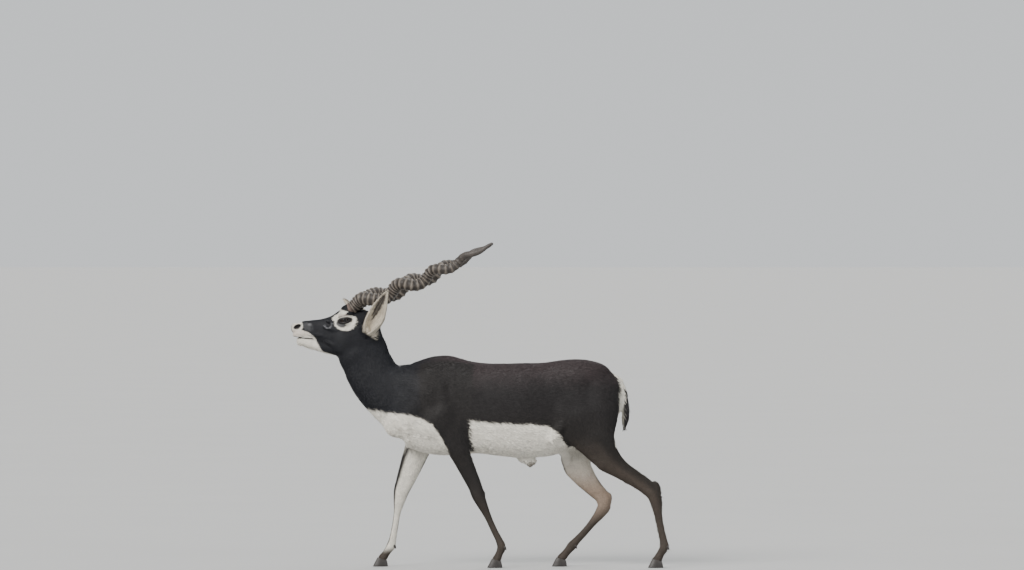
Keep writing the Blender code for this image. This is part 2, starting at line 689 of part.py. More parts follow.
def swept(name, middle, thick, sides, start=0.0):
    """A closed tube with round ends along a line, from rings that don't twist."""
    way = np.gradient(middle, axis=0)
    way /= np.linalg.norm(way, axis=1)[:, None]
    across = np.cross(way[0], (0, 1, 0))
    points, faces = [], []
    for i, (m, w, r) in enumerate(zip(middle, way, thick)):
        across = across - across @ w * w
        across /= np.linalg.norm(across)
        other = np.cross(w, across)
        for k in range(sides):
            a = start + 2 * math.pi * k / sides
            points.append(m + r * (math.cos(a) * across + math.sin(a) * other))
        if i:
            for k in range(sides):
                a, b = (i - 1) * sides + k, (i - 1) * sides + (k + 1) % sides
                faces.append((a, b, b + sides, a + sides))
    last = (len(middle) - 1) * sides
    points.append(middle[0])
    points.append(middle[-1] + way[-1] * thick[-1] * 0.7)
    faces += [(len(points) - 2, (k + 1) % sides, k) for k in range(sides)]
    faces += [(len(points) - 1, last + k, last + (k + 1) % sides) for k in range(sides)]
    return mesh_object(name, points, faces)


def ear_piece(name, ear, rows=9, columns=6):
    """The same bent leaf as a closed shell: outer wall, inner wall and a rim round both."""
    points, faces = [], []
    across = columns + 1
    for wall_side in (1, -1):
        for i in range(rows + 1):
            t = 0.985 * i / rows
            leaf, angle, wall = (float(v) for v in ear.section(np.array(t)))
            radius = leaf / math.sin(min(angle, math.pi / 2))
            wall = min(wall, 0.55 * radius)
            middle = ear.root + ear.up * (t * ear.length) + ear.open * (
                radius * math.cos(min(angle, math.pi / 2)) - 0.15 * radius
            )
            for k in range(across):
                theta = angle * (2 * k / columns - 1)
                r = radius + wall_side * wall
                points.append(middle + r * (math.sin(theta) * ear.side - math.cos(theta) * ear.open))
    half = (rows + 1) * across
    for i in range(rows):
        for k in range(columns):
            a = i * across + k
            faces.append((a, a + 1, a + 1 + across, a + across))
            faces.append((half + a, half + a + across, half + a + 1 + across, half + a + 1))
        for k in (0, columns):
            a, b = i * across + k, (i + 1) * across + k
            faces.append((a, b, b + half, a + half) if k == 0 else (a, a + half, b + half, b))
    for i in (0, rows):
        for k in range(columns):
            a = i * across + k
            faces.append((a, a + half, a + 1 + half, a + 1) if i == 0 else (a, a + 1, a + 1 + half, a + half))
    obj = mesh_object(name, points, faces)
    bm = bmesh.new()
    bm.from_mesh(obj.data)
    bmesh.ops.recalc_face_normals(bm, faces=bm.faces)
    bmesh.ops.triangulate(bm, faces=bm.faces)
    bm.to_mesh(obj.data)
    bm.free()
    return obj


def claw(name, toe_x, y, inner):
    """One hoof claw: a flat sole, a sloping front wall and a top along the coronet."""
    rings = []
    steps = 6
    for level in range(5):
        ring = []
        for k in range(2 * steps):
            outer = k < steps
            j = k if outer else 2 * steps - 1 - k
            t = j / (steps - 1)  # 0 at the toe, 1 at the heel
            width = HOOF_HALF_WIDTH * math.sin(math.pi * (0.12 + 0.80 * t) ** 0.8) ** 0.55
            if level == 0:
                shrink, rise = 0.90, 0.0
            elif level == 1:
                shrink, rise = 1.0, 0.05
            else:
                shrink, rise = 1.0 - 0.05 * level, (level - 1) / 3
            top = HOOF_TOE_HEIGHT + (HOOF_HEEL_HEIGHT - HOOF_TOE_HEIGHT) * t - GAP
            z = 0.0 if level == 0 else (0.22 if level == 1 else rise * top)
            lean = z / top
            length = HOOF_LENGTH * (1 - 0.30 * lean)
            x = toe_x + 0.06 * (1 if level == 0 else 0) + 1.65 * lean + t * length * (0.985 if level == 0 else 1)
            flat = 0.72 if (outer == inner) else 1.0  # the sides that face each other are flatter
            sign = -1 if outer else 1
            ring.append((x, y + sign * shrink * width * flat, z))
        rings.append(ring)
    n = 2 * steps
    points = [p for ring in rings for p in ring]
    faces = [list(range(n))[::-1], [4 * n + k for k in range(n)]]
    for level in range(4):
        for k in range(n):
            a, b = level * n + k, level * n + (k + 1) % n
            faces.append((a, b, b + n, a + n))
    obj = mesh_object(name, points, faces)
    bm = bmesh.new()
    bm.from_mesh(obj.data)
    bmesh.ops.recalc_face_normals(bm, faces=bm.faces)
    bmesh.ops.triangulate(bm, faces=[f for f in bm.faces if len(f.verts) > 4])
    bm.to_mesh(obj.data)
    bm.free()
    return obj


def dewclaw(name, place, side, slope):
    """A small horny knob behind the fetlock, tip down and back."""
    bm = bmesh.new()
    bmesh.ops.create_uvsphere(bm, u_segments=6, v_segments=4, radius=1.0)
    for v in bm.verts:
        z = v.co.z
        grow = 0.62 + 0.38 * z
        v.co = Vector((v.co.x * 0.62 * grow, v.co.y * 0.5 * grow, z * 0.95))
    bmesh.ops.rotate(bm, verts=bm.verts, cent=(0, 0, 0), matrix=Matrix.Rotation(math.radians(-28 - slope), 3, "Y"))
    for v in bm.verts:
        v.co = (v.co + Vector(place)) * CM
    mesh = bpy.data.meshes.new(name)
    bm.to_mesh(mesh)
    bm.free()
    obj = bpy.data.objects.new(name, mesh)
    bpy.context.scene.collection.objects.link(obj)
    return obj


def ball(name, middle, half, pitch=0.0, side=1, segments=16, rings=10):
    """An ellipsoid as a mesh, its poles to the sides."""
    bm = bmesh.new()
    bmesh.ops.create_uvsphere(bm, u_segments=segments, v_segments=rings, radius=1.0)
    turn = Matrix.Rotation(math.radians(pitch), 3, "Y")
    for v in bm.verts:
        p = turn @ Vector((v.co.x * half[0], v.co.z * half[1], -v.co.y * half[2]))
        v.co = Vector(((middle[0] + p.x) * CM, (middle[1] * side + p.y) * CM, (middle[2] + p.z) * CM))
    bmesh.ops.recalc_face_normals(bm, faces=bm.faces)
    mesh = bpy.data.meshes.new(name)
    bm.to_mesh(mesh)
    bm.free()
    obj = bpy.data.objects.new(name, mesh)
    bpy.context.scene.collection.objects.link(obj)
    return obj


def material(name, colour, roughness):
    found = bpy.data.materials.get(name)
    if found:
        return found
    mat = bpy.data.materials.new(name)
    mat.use_nodes = True
    shader = mat.node_tree.nodes["Principled BSDF"]
    shader.inputs["Base Color"].default_value = (*colour, 1)
    shader.inputs["Roughness"].default_value = roughness
    shader.inputs["Metallic"].default_value = 0.0
    return mat


LOOKS = {
    "head": ((0.022, 0.020, 0.024), 0.75),
    "neck": ((0.024, 0.022, 0.026), 0.75),
    "trunk": ((0.050, 0.030, 0.028), 0.78),
    "tail": ((0.060, 0.045, 0.038), 0.8),
    "ear": ((0.55, 0.52, 0.44), 0.8),
    "foreleg": ((0.060, 0.045, 0.040), 0.78),
    "hindleg": ((0.120, 0.095, 0.080), 0.78),
    "eye": ((0.012, 0.008, 0.006), 0.08),
    "horn": ((0.160, 0.120, 0.095), 0.55),
    "hoof": ((0.030, 0.027, 0.025), 0.45),
    "dewclaw": ((0.030, 0.027, 0.025), 0.5),
}


def finish(obj):
    """Its own material, smooth shading, and a clean closed mesh."""
    bm = bmesh.new()
    bm.from_mesh(obj.data)
    bmesh.ops.triangulate(bm, faces=bm.faces)
    bmesh.ops.dissolve_degenerate(bm, dist=2e-5, edges=bm.edges)
    bmesh.ops.triangulate(bm, faces=bm.faces)
    bm.to_mesh(obj.data)
    bm.free()
    kind = obj.name.split("_")[0]
    colour, roughness = LOOKS[kind]
    obj.data.materials.clear()
    obj.data.materials.append(material(obj.name + "_finish", colour, roughness))
    obj.data.shade_smooth()
    obj.data.set_sharp_from_angle(angle=math.radians(50))


def clear():
    for obj in list(bpy.data.objects):
        bpy.data.objects.remove(obj, do_unlink=True)


def build():
    clear()
    pieces = {}

    # Flesh, meshed coarsely for the body and finely for the head.
    body = meshed("body", flesh, (-53, -14, 0.4), (69, 14, 90), 0.72)
    remeshed(body, 0.62)
    thinned(body, 2950)
    helper(body)
    fine = meshed("fine", flesh, (-69, -9, 68), (-30, 9, 95.5), 0.36)
    remeshed(fine, 0.32)
    thinned(fine, 1180)
    helper(fine)

    head = copy_of(fine, "head")
    cut(head, *sagittal(HEAD_CUT))
    keep_nearest(head, (-60, 0, 84))

    neck = copy_of(body, "neck")
    point, normal = sagittal(HEAD_CUT)
    cut(neck, point, [-n for n in normal])
    cut(neck, *sagittal(NECK_CUT))
    keep_nearest(neck, (-44, 0, 68))

    trunk = copy_of(body, "trunk")
    point, normal = sagittal(NECK_CUT)
    cut(trunk, point, [-n for n in normal])
    tail = copy_of(body, "tail")
    (tx0, tz0), (tx1, tz1) = TAIL_CUT
    tail_box = [(tx0, tz0), (tx0 + 12, tz0 + 2), (60, 48), (50.3, 48), (49.9, 57.5), (49.4, 62), (tx1 - 1.6, tz1 - 1.4)]
    fore = lambda x0, x1: [(x0, 43.2), (x1, 43.2), (x1 + 12, -2), (x0 - 12, -2)]
    hind = [(22.5, 42.0), (52.5, 54.0), (74, 34), (74, -2), (20, -2)]
    cutters = {
        "tail": (tail_box, -2.8, 2.8),
        "foreleg_left": (fore(-14.5, 1.5), -12, -2.1),
        "foreleg_right": (fore(-29.5, -15.2), 2.1, 12),
        "hindleg_left": (hind, -14, -1.5),
        "hindleg_right": (hind, 1.5, 14),
    }
    for name, (outline, y0, y1) in cutters.items():
        box = prism(name + "_cutter", outline, y0, y1)
        wide = swollen(box, name + "_clear", GAP)
        limb = tail if name == "tail" else copy_of(body, name)
        boolean(limb, box, "INTERSECT")
        boolean(trunk, wide, "DIFFERENCE")
        pieces[name] = limb
    keep_nearest(trunk, (0, 10, 57))
    keep_nearest(pieces["tail"], (52, 0, 56))
    for name, (toe, y) in FEET.items():
        leg = pieces[name]
        keep_nearest(leg, (toe + 4, y, 5))
        x0 = toe + 1.65
        slope = (HOOF_HEEL_HEIGHT - HOOF_TOE_HEIGHT) / (0.7 * HOOF_LENGTH)
        cut(leg, (x0, 0, HOOF_TOE_HEIGHT + GAP / 2), (-slope, 0, 1))
        side = -1 if y < 0 else 1
        for inner, label in ((True, "inner"), (False, "outer")):
            offset = -side * HOOF_SPREAD if inner else side * HOOF_SPREAD
            faces_left = offset > 0
            hoof = claw(f"hoof_{name}_{label}", toe, y + offset, faces_left)
            pieces[hoof.name] = hoof
            fx, fz = FETLOCKS[name]
            lean = -side * 0.85 if inner else side * 0.85
            knob = dewclaw(f"dewclaw_{name}_{label}", (fx + 1.62, y + lean, fz - 0.5), side, 0)
            boolean(knob, helper(swollen(leg, knob.name + "_clear", GAP)), "DIFFERENCE")
            keep_nearest(knob, (fx + 4, y + lean, fz - 2))
            pieces[knob.name] = knob
    pieces.update(head=head, neck=neck, trunk=trunk, tail=tail)

    # Eyes, and ears cut clear of the head.
    head_clear = swollen(head, "head_clear", GAP)
    for side, label in ((-1, "left"), (1, "right")):
        eye = ball("eye_" + label, EYE_AT, (EYE_RADIUS,) * 3, side=side, segments=14, rings=8)
        pieces[eye.name] = eye
        for k, (middle, half, pitch) in enumerate((EYE_CLEARANCE, LID_OPENING)):
            socket = helper(ball(f"socket_{label}_{k}", middle, half, pitch, side, 14, 8))
            boolean(head, socket, "DIFFERENCE")
        t = np.linspace(0, 1, 54)
        middle, thick = horn_line(side, t)
        horn = swept("horn_" + label, middle, thick, 7)
        boolean(horn, head_clear, "DIFFERENCE")
        keep_nearest(horn, np.array(HORN_TIP) * (1, side, 1))
        pieces[horn.name] = horn
        ear_field = Ear(*(EAR_LEFT if side < 0 else EAR_RIGHT))
        ear = ear_piece("ear_" + label, ear_field)
        boolean(ear, head_clear, "DIFFERENCE")
        boolean(ear, swollen(horn, "horn_clear_" + label, GAP), "DIFFERENCE")
        keep_nearest(ear, ear_field.tip)
        pieces[ear.name] = ear

    for name, piece in pieces.items():
        finish(piece)
    for obj in list(bpy.data.objects):
        if obj.name not in pieces:
            bpy.data.objects.remove(obj, do_unlink=True)
    # The origin goes under the middle of the whole animal's box, on the floor.
    lows, highs = [], []
    for obj in pieces.values():
        co = np.empty(len(obj.data.vertices) * 3)
        obj.data.vertices.foreach_get("co", co)
        lows.append(co.reshape(-1, 3).min(0))
        highs.append(co.reshape(-1, 3).max(0))
    low, high = np.min(lows, 0), np.max(highs, 0)
    for obj in pieces.values():
        obj.data.transform(Matrix.Translation((-(low[0] + high[0]) / 2, -(low[1] + high[1]) / 2, -low[2])))
    return pieces


if __name__ == "__main__":
    build()
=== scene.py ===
"""Looks of the life-size male blackbuck: one skin with its markings, a short coat of
fine locks over it, ringed horns, wet eyes with lids, and horny hooves.

The flesh is worked out from the same lofted limbs and rounded muscles as the solids,
in centimetres, with z from the floor, the nose towards minus x and the animal's left
side towards minus y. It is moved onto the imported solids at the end.
"""

import math
from concurrent.futures import ThreadPoolExecutor

import bmesh
import bpy
import numpy as np
from mathutils import Matrix, Vector


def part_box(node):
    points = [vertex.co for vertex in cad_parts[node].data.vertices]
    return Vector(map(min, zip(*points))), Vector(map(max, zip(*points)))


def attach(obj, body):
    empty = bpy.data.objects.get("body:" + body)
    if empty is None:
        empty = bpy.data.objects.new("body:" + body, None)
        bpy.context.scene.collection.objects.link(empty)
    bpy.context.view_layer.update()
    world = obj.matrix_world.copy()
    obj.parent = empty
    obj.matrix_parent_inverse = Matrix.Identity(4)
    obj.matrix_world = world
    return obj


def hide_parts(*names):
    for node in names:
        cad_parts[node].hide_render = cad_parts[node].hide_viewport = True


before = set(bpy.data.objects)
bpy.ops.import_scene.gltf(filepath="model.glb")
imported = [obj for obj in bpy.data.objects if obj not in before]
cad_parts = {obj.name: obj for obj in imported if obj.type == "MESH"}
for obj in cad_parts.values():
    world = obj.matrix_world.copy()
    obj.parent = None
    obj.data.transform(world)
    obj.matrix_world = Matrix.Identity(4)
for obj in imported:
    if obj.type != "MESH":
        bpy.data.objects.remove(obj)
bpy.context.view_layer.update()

# ---- sizes and shapes shared with the solids, in centimetres -----------------

CM = 0.01
GAP = 0.03  # between pieces that touch
EYE_AT = (-48.2, 3.35, 88.1)
EYE_RADIUS = 1.72
LID_THICKNESS = 0.26
HORN_BASE = (-47.4, 2.35, 92.2)
HORN_TIP = (4.4, 16.0, 115.5)
HORN_TURNS = 3.66  # turns for each whole length, growing towards the tip
HORN_TURNS_GROWTH = 0.76
HORN_FIRST_CREST = 0.10  # share of the length where the first bend is highest
HORN_COIL = 1.45
FAR_HORN_LAG = 0.30  # of a turn
TRUNK = (
    (-31.5, 58.0, 7.5, 7.5, 4.4, 0),
    (-27.5, 58.5, 13.2, 11.5, 7.2, 0),
    (-21.5, 58.0, 16.4, 15.4, 8.5, 0),
    (-14.5, 57.5, 17.6, 17.2, 9.0, 0),
    (-8.0, 57.0, 17.2, 17.2, 9.3, 0),
    (0.0, 56.5, 16.1, 16.5, 9.6, 0),
    (8.0, 56.0, 16.5, 16.8, 10.0, 0),
    (16.0, 56.0, 17.2, 17.0, 9.9, 0),
    (24.0, 57.5, 17.6, 16.2, 9.1, 0),
    (31.0, 60.0, 15.5, 14.2, 8.4, 0),
    (38.0, 61.0, 12.0, 12.3, 7.8, 0),
    (44.0, 60.5, 9.0, 9.0, 6.0, 0),
)
NECK = (
    (-44.5, 83.0, 6.6, 6.4, 4.0, 0),
    (-42.6, 79.6, 8.4, 8.2, 4.5, 0),
    (-40.2, 72.6, 9.0, 8.9, 5.2, 0),
    (-36.6, 66.2, 9.3, 9.6, 6.2, 0),
    (-31.0, 61.5, 10.6, 12.5, 7.2, 0),
    (-24.0, 58.5, 12.0, 14.5, 7.6, 0),
)
HEAD = (
    (-65.4, 84.35, 1.75, 2.0, 1.75, 0),
    (-63.8, 84.3, 2.9, 3.3, 2.15, 0),
    (-61.0, 84.1, 3.5, 4.0, 2.3, 0),
    (-57.5, 83.9, 4.3, 4.6, 2.75, 0),
    (-53.8, 83.6, 5.2, 6.0, 3.4, 0),
    (-50.4, 83.4, 6.2, 8.2, 4.0, 0),
    (-46.2, 83.4, 7.0, 9.3, 4.3, 0),
    (-42.0, 83.4, 6.5, 8.3, 4.3, 0),
    (-38.6, 83.6, 5.2, 5.6, 3.9, 0),
)
JAW = (
    (-64.6, 80.95, 1.1, 1.0, 1.25, 0),
    (-62.6, 80.4, 1.7, 1.5, 1.7, 0),
    (-58.5, 79.4, 2.1, 1.9, 2.05, 0),
    (-53.5, 78.6, 2.8, 2.4, 2.7, 0),
    (-49.5, 78.6, 3.7, 3.0, 3.3, 0),
)
FORELEG_LEFT = (
    (-13.6, 55.0, 6.8, 6.6, 3.0, -6.2),
    (-10.6, 49.0, 5.6, 5.4, 3.0, -6.4),
    (-8.3, 43.6, 4.3, 3.9, 2.8, -6.3),
    (-6.0, 38.5, 3.5, 3.3, 2.4, -6.1),
    (-3.5, 33.0, 2.9, 2.8, 2.05, -5.9),
    (-1.6, 28.8, 2.55, 2.45, 1.95, -5.7),
    (-0.4, 25.6, 2.5, 2.2, 2.0, -5.6),
    (0.9, 22.4, 1.9, 1.85, 1.7, -5.5),
    (2.4, 19.0, 1.3, 1.45, 1.3, -5.4),
    (4.9, 13.4, 1.1, 1.3, 1.08, -5.3),
    (7.0, 9.2, 1.3, 1.45, 1.25, -5.2),
    (7.7, 7.4, 1.6, 1.65, 1.5, -5.2),
    (7.0, 5.2, 1.35, 1.35, 1.4, -5.2),
    (5.9, 2.6, 1.7, 1.6, 1.65, -5.2),
)
FORELEG_RIGHT = (
    (-19.0, 54.0, 6.6, 6.4, 3.0, 6.2),
    (-20.4, 47.5, 5.6, 5.2, 3.0, 6.3),
    (-22.4, 41.5, 4.9, 4.5, 2.7, 6.2),
    (-24.6, 36.0, 4.15, 3.95, 2.4, 6.0),
    (-26.6, 30.8, 3.45, 3.3, 2.1, 5.8),
    (-28.1, 26.6, 2.9, 2.6, 2.1, 5.6),
    (-28.9, 23.2, 2.15, 2.05, 1.75, 5.5),
    (-29.6, 19.8, 1.3, 1.45, 1.3, 5.4),
    (-30.6, 13.8, 1.1, 1.3, 1.08, 5.3),
    (-31.4, 9.4, 1.3, 1.45, 1.25, 5.2),
    (-31.8, 7.5, 1.6, 1.65, 1.5, 5.2),
    (-33.2, 5.3, 1.35, 1.35, 1.4, 5.2),
    (-35.0, 2.6, 1.7, 1.6, 1.65, 5.2),
)
HINDLEG_LEFT = (
    (38.5, 54.0, 9.5, 8.6, 3.6, -5.4),
    (41.2, 46.0, 8.0, 7.0, 3.4, -5.9),
    (44.8, 39.8, 5.6, 5.2, 3.0, -6.2),
    (49.8, 35.3, 3.6, 3.5, 2.4, -6.1),
    (55.0, 31.8, 2.95, 3.0, 2.05, -6.0),
    (59.0, 29.0, 2.7, 2.9, 1.95, -5.9),
    (61.7, 26.2, 2.45, 2.9, 2.05, -5.8),
    (62.8, 22.8, 1.95, 2.2, 1.8, -5.7),
    (63.4, 19.2, 1.45, 1.6, 1.35, -5.6),
    (64.5, 13.4, 1.2, 1.4, 1.12, -5.5),
    (65.4, 9.3, 1.4, 1.5, 1.3, -5.4),
    (65.7, 7.5, 1.65, 1.7, 1.52, -5.4),
    (64.6, 5.3, 1.4, 1.4, 1.4, -5.4),
    (63.2, 2.6, 1.7, 1.6, 1.65, -5.4),
)
HINDLEG_RIGHT = (
    (36.0, 54.0, 9.5, 8.6, 3.6, 5.4),
    (34.0, 46.0, 8.6, 7.6, 3.5, 5.9),
    (33.8, 39.0, 6.2, 5.8, 3.0, 6.2),
    (37.2, 32.4, 4.3, 4.0, 2.45, 6.1),
    (41.0, 27.6, 3.0, 3.1, 2.05, 6.0),
    (43.6, 24.8, 2.6, 2.8, 1.95, 5.9),
    (44.4, 22.2, 2.4, 2.8, 2.05, 5.8),
    (43.1, 19.3, 1.95, 2.15, 1.8, 5.7),
    (40.9, 16.5, 1.45, 1.6, 1.35, 5.6),
    (37.0, 11.9, 1.2, 1.4, 1.12, 5.5),
    (34.2, 8.9, 1.4, 1.5, 1.3, 5.4),
    (33.0, 7.5, 1.65, 1.7, 1.52, 5.4),
    (31.2, 5.3, 1.4, 1.4, 1.4, 5.4),
    (29.0, 2.6, 1.7, 1.6, 1.65, 5.4),
)
TAIL = (
    (44.5, 67.5, 2.4, 2.4, 2.2, 0),
    (48.0, 66.8, 1.9, 2.0, 1.9, 0),
    (50.4, 63.6, 1.5, 1.6, 1.7, 0),
    (51.6, 58.8, 1.4, 1.5, 1.6, 0),
    (51.9, 54.0, 1.5, 1.5, 1.5, 0),
    (51.6, 50.6, 0.9, 0.9, 0.9, 0),
)
MUSCLES = (
    ("withers", (-14.5, 0.0, 69.5), (9.0, 3.4, 5.2), 4, 4.0),
    ("shoulder_blade", (-17.5, 5.6, 62.5), (5.2, 3.2, 10.5), 14, 3.0),
    ("shoulder_point", (-25.2, 5.0, 54.5), (6.0, 3.4, 6.2), 0, 3.0),
    ("upper_arm", (-15.5, 6.3, 52.5), (7.4, 3.0, 5.6), 20, 2.5),
    ("breast", (-29.0, 2.4, 50.4), (5.2, 3.2, 3.8), 30, 3.8),
    ("croup", (35.0, 1.9, 68.4), (10.8, 5.0, 5.2), 8, 3.4),
    ("thigh_front", (33.5, 5.4, 54.0), (8.6, 3.5, 10.0), -10, 3.0),
    ("thigh_rear", (43.3, 4.6, 57.0), (5.6, 3.5, 10.4), 8, 3.2),
    ("scrotum", (37.0, 0.0, 46.5), (2.2, 1.9, 3.2), 0, 1.2),
    ("sheath", (16.6, 0.0, 38.3), (3.6, 1.3, 1.7), -16, 1.4),
    ("cheek", (-49.0, 2.7, 80.2), (4.6, 1.7, 4.4), -28, 1.4),
    ("cheekbone", (-52.4, 3.1, 84.9), (3.6, 0.85, 0.8), -14, 0.9),
    ("brow", (-48.0, 3.3, 90.1), (2.7, 1.5, 1.3), 14, 0.8),
    ("orbit", (-48.0, 3.3, 88.2), (2.55, 1.75, 2.3), 12, 0.7),
    ("horn_seat", (-47.2, 2.2, 91.5), (2.9, 2.2, 2.3), 24, 0.9),
    ("poll", (-40.6, 0.0, 89.0), (3.4, 3.2, 2.6), -30, 1.6),
    ("ear_seat", (-41.2, 4.3, 84.6), (2.3, 1.6, 2.8), 20, 0.9),
    ("nose_pad", (-66.2, 0.0, 85.4), (1.35, 1.5, 1.75), -8, 0.5),
    ("nostril_wing", (-64.7, 1.25, 86.1), (1.85, 0.85, 1.1), 18, 0.45),
    ("upper_lip", (-64.4, 1.15, 83.2), (2.5, 1.1, 1.25), 6, 0.5),
    ("chin", (-63.6, 0.0, 80.4), (1.9, 1.35, 1.35), 20, 0.5),
    ("throat", (-45.6, 0.0, 75.6), (5.2, 3.2, 2.6), 38, 3.0),
)
HEELS = (
    ((62.9, -5.9, 29.2), (1.15, 0.95, 2.1), 34),
    ((46.1, 5.9, 24.4), (1.15, 0.95, 2.1), 4),
    ((1.0, -5.6, 26.4), (0.9, 0.85, 1.2), 20),
    ((-26.6, 5.6, 26.8), (0.9, 0.85, 1.2), -8),
)
EAR_LEFT = ((-40.1, -5.2, 83.8), (-32.9, -14.0, 98.4), (-0.45, -1.0, 0.1))
EAR_RIGHT = ((-40.6, 4.9, 85.2), (-49.0, 14.6, 95.4), (-0.75, 0.45, -0.3))
EAR_HALF_WIDTH = 3.05
EAR_WALL = 0.34
HOOF_LENGTH = 5.4
HOOF_HALF_WIDTH = 0.98
HOOF_SPREAD = 1.08
HOOF_TOE_HEIGHT = 3.1
HOOF_HEEL_HEIGHT = 2.2
FETLOCKS = {
    "foreleg_left": (7.7, 7.4),
    "foreleg_right": (-31.8, 7.5),
    "hindleg_left": (65.7, 7.5),
    "hindleg_right": (33.0, 7.5),
}
FEET = {
    "foreleg_left": (2.6, -5.2),
    "foreleg_right": (-38.4, 5.2),
    "hindleg_left": (59.9, -5.4),
    "hindleg_right": (25.7, 5.4),
}
def smooth_rows(rows, count):
    """Rows joined by a smooth curve and read at count even places."""
    rows = np.array(rows, float)
    step = np.linalg.norm(np.diff(rows[:, :2], axis=0), axis=1)
    at = np.concatenate([[0], np.cumsum(step)])
    slope = np.gradient(rows, at, axis=0)
    t = np.linspace(0, at[-1], count)
    i = np.clip(np.searchsorted(at, t, "right") - 1, 0, len(at) - 2)
    h = (at[i + 1] - at[i])[:, None]
    u = (t[:, None] - at[i][:, None]) / h
    return (
        (2 * u**3 - 3 * u**2 + 1) * rows[i]
        + (u**3 - 2 * u**2 + u) * h * slope[i]
        + (-2 * u**3 + 3 * u**2) * rows[i + 1]
        + (u**3 - u**2) * h * slope[i + 1]
    )


class Loft:
    """Sections along a curve in an upright plane, each a rounded oval."""

    def __init__(self, rows, power=2.0, count=44, caps=(1.0, 1.0), reach=5.0):
        s = smooth_rows(rows, count)
        self.c, self.r = s[:, :2], s[:, 2:]
        self.ab = np.diff(self.c, axis=0)
        self.len = np.linalg.norm(self.ab, axis=1)
        self.way = self.ab / self.len[:, None]
        self.power = power
        self.cap = caps[0] * self.r[0, :2].mean(), caps[1] * self.r[-1, :2].mean()
        big = self.r[:, :2].max() + reach
        self.lo = np.array(
            [self.c[:, 0].min() - big, (self.r[:, 3] - self.r[:, 2]).min() - reach, self.c[:, 1].min() - big]
        )
        self.hi = np.array(
            [self.c[:, 0].max() + big, (self.r[:, 3] + self.r[:, 2]).max() + reach, self.c[:, 1].max() + big]
        )

    def __call__(self, p):
        out = np.empty(len(p))
        for k in range(0, len(p), 3000):
            out[k : k + 3000] = self.part(p[k : k + 3000])
        return out

    def part(self, p):
        q = p[:, [0, 2]]
        rel = q[:, None] - self.c[None, :-1]
        along = (rel * self.way).sum(2)
        t = np.clip(along, 0, self.len)
        off = rel - t[..., None] * self.way
        i = np.argmin((off**2).sum(2), axis=1)
        n = np.arange(len(p))
        share = (t[n, i] / self.len[i])[:, None]
        a, b, w, y = (self.r[i] * (1 - share) + self.r[i + 1] * share).T
        way, off = self.way[i], off[n, i]
        u = off[:, 0] * way[:, 1] - off[:, 1] * way[:, 0]
        e = (off * way).sum(1)
        v = p[:, 1] - y
        half = np.where(u > 0, a, b)
        r = ((np.abs(u) / half) ** self.power + (np.abs(v) / w) ** self.power) ** (2 / self.power)
        cap = np.where(e < 0, self.cap[0], self.cap[1])
        r = np.sqrt(np.maximum(r + (e / cap) ** 2, 1e-12))
        return np.sqrt(u**2 + v**2 + e**2) * (1 - 1 / r)


class Ball:
    """An ellipsoid, pitched nose up or down, on one side or mirrored to both."""

    def __init__(self, middle, half, pitch=0.0, both=False, reach=5.0):
        self.m, self.h, self.both = np.array(middle, float), np.array(half, float), both
        self.cos, self.sin = math.cos(math.radians(pitch)), math.sin(math.radians(pitch))
        far = self.h.max() + reach
        self.lo, self.hi = self.m - far, self.m + far
        if both:
            self.lo[1], self.hi[1] = -self.hi[1], self.hi[1]

    def __call__(self, p):
        y = np.abs(p[:, 1]) if self.both else p[:, 1]
        x, z = p[:, 0] - self.m[0], p[:, 2] - self.m[2]
        q = np.stack([x * self.cos + z * self.sin, y - self.m[1], z * self.cos - x * self.sin], 1)
        r = np.maximum(np.linalg.norm(q / self.h, axis=1), 1e-6)
        return np.linalg.norm(q, axis=1) * (1 - 1 / r)


class Ear:
    """A leaf-shaped cup: a bent wall, tubular at the root, open further up."""

    def __init__(self, root, tip, opens, reach=3.0):
        self.root, self.tip = np.array(root, float), np.array(tip, float)
        self.up = self.tip - self.root
        self.length = np.linalg.norm(self.up)
        self.up /= self.length
        o = np.array(opens, float)
        o -= o @ self.up * self.up
        self.open = o / np.linalg.norm(o)
        self.side = np.cross(self.up, self.open)
        both = np.stack([self.root, self.tip])
        far = EAR_HALF_WIDTH + reach
        self.lo, self.hi = both.min(0) - far, both.max(0) + far

    def section(self, t):
        """Half width of the flattened leaf, half angle of the wall, wall."""
        t = np.clip(t, 0, 1)
        leaf = EAR_HALF_WIDTH * (0.52 + 0.48 * np.sin(np.pi * np.clip(t / 0.86, 0, 1) ** 0.9))
        leaf = leaf * np.sqrt(np.clip(1 - ((t - 0.45) / 0.55).clip(0) ** 2.3, 0.004, 1))
        angle = np.radians(150 - 78 * np.clip(t / 0.55, 0, 1) ** 0.7)
        wall = EAR_WALL * (1.25 - 0.55 * t)
        return leaf, angle, wall

    def __call__(self, p):
        q = p - self.root
        s, o, h = q @ self.side, q @ self.open, q @ self.up
        t = h / self.length
        leaf, angle, wall = self.section(t)
        radius = leaf / np.sin(np.minimum(angle, np.pi / 2))
        # The wall's back stays near the axis, so a flatter wall doesn't drift away.
        o = o - radius * np.cos(np.minimum(angle, np.pi / 2)) + 0.15 * radius
        theta = np.arctan2(np.abs(s), -o)
        ring = np.abs(np.hypot(s, o) - radius)
        end_s, end_o = radius * np.sin(angle), -radius * np.cos(angle)
        edge = np.hypot(np.abs(s) - end_s, o - end_o)
        d = np.where(theta < angle, ring, edge)
        over = np.maximum(h - self.length, 0) + np.maximum(-h, 0)
        return np.hypot(d, over) - wall


def smooth_min(a, b, k):
    h = np.clip(0.5 + 0.5 * (b - a) / k, 0, 1)
    return b * (1 - h) + a * h - k * h * (1 - h)


def near(shape, p, far=50.0):
    """The shape's distance, worked out only around it."""
    d = np.full(len(p), far)
    inside = ((p >= shape.lo) & (p <= shape.hi)).all(1)
    if inside.any():
        d[inside] = shape(p[inside])
    return d


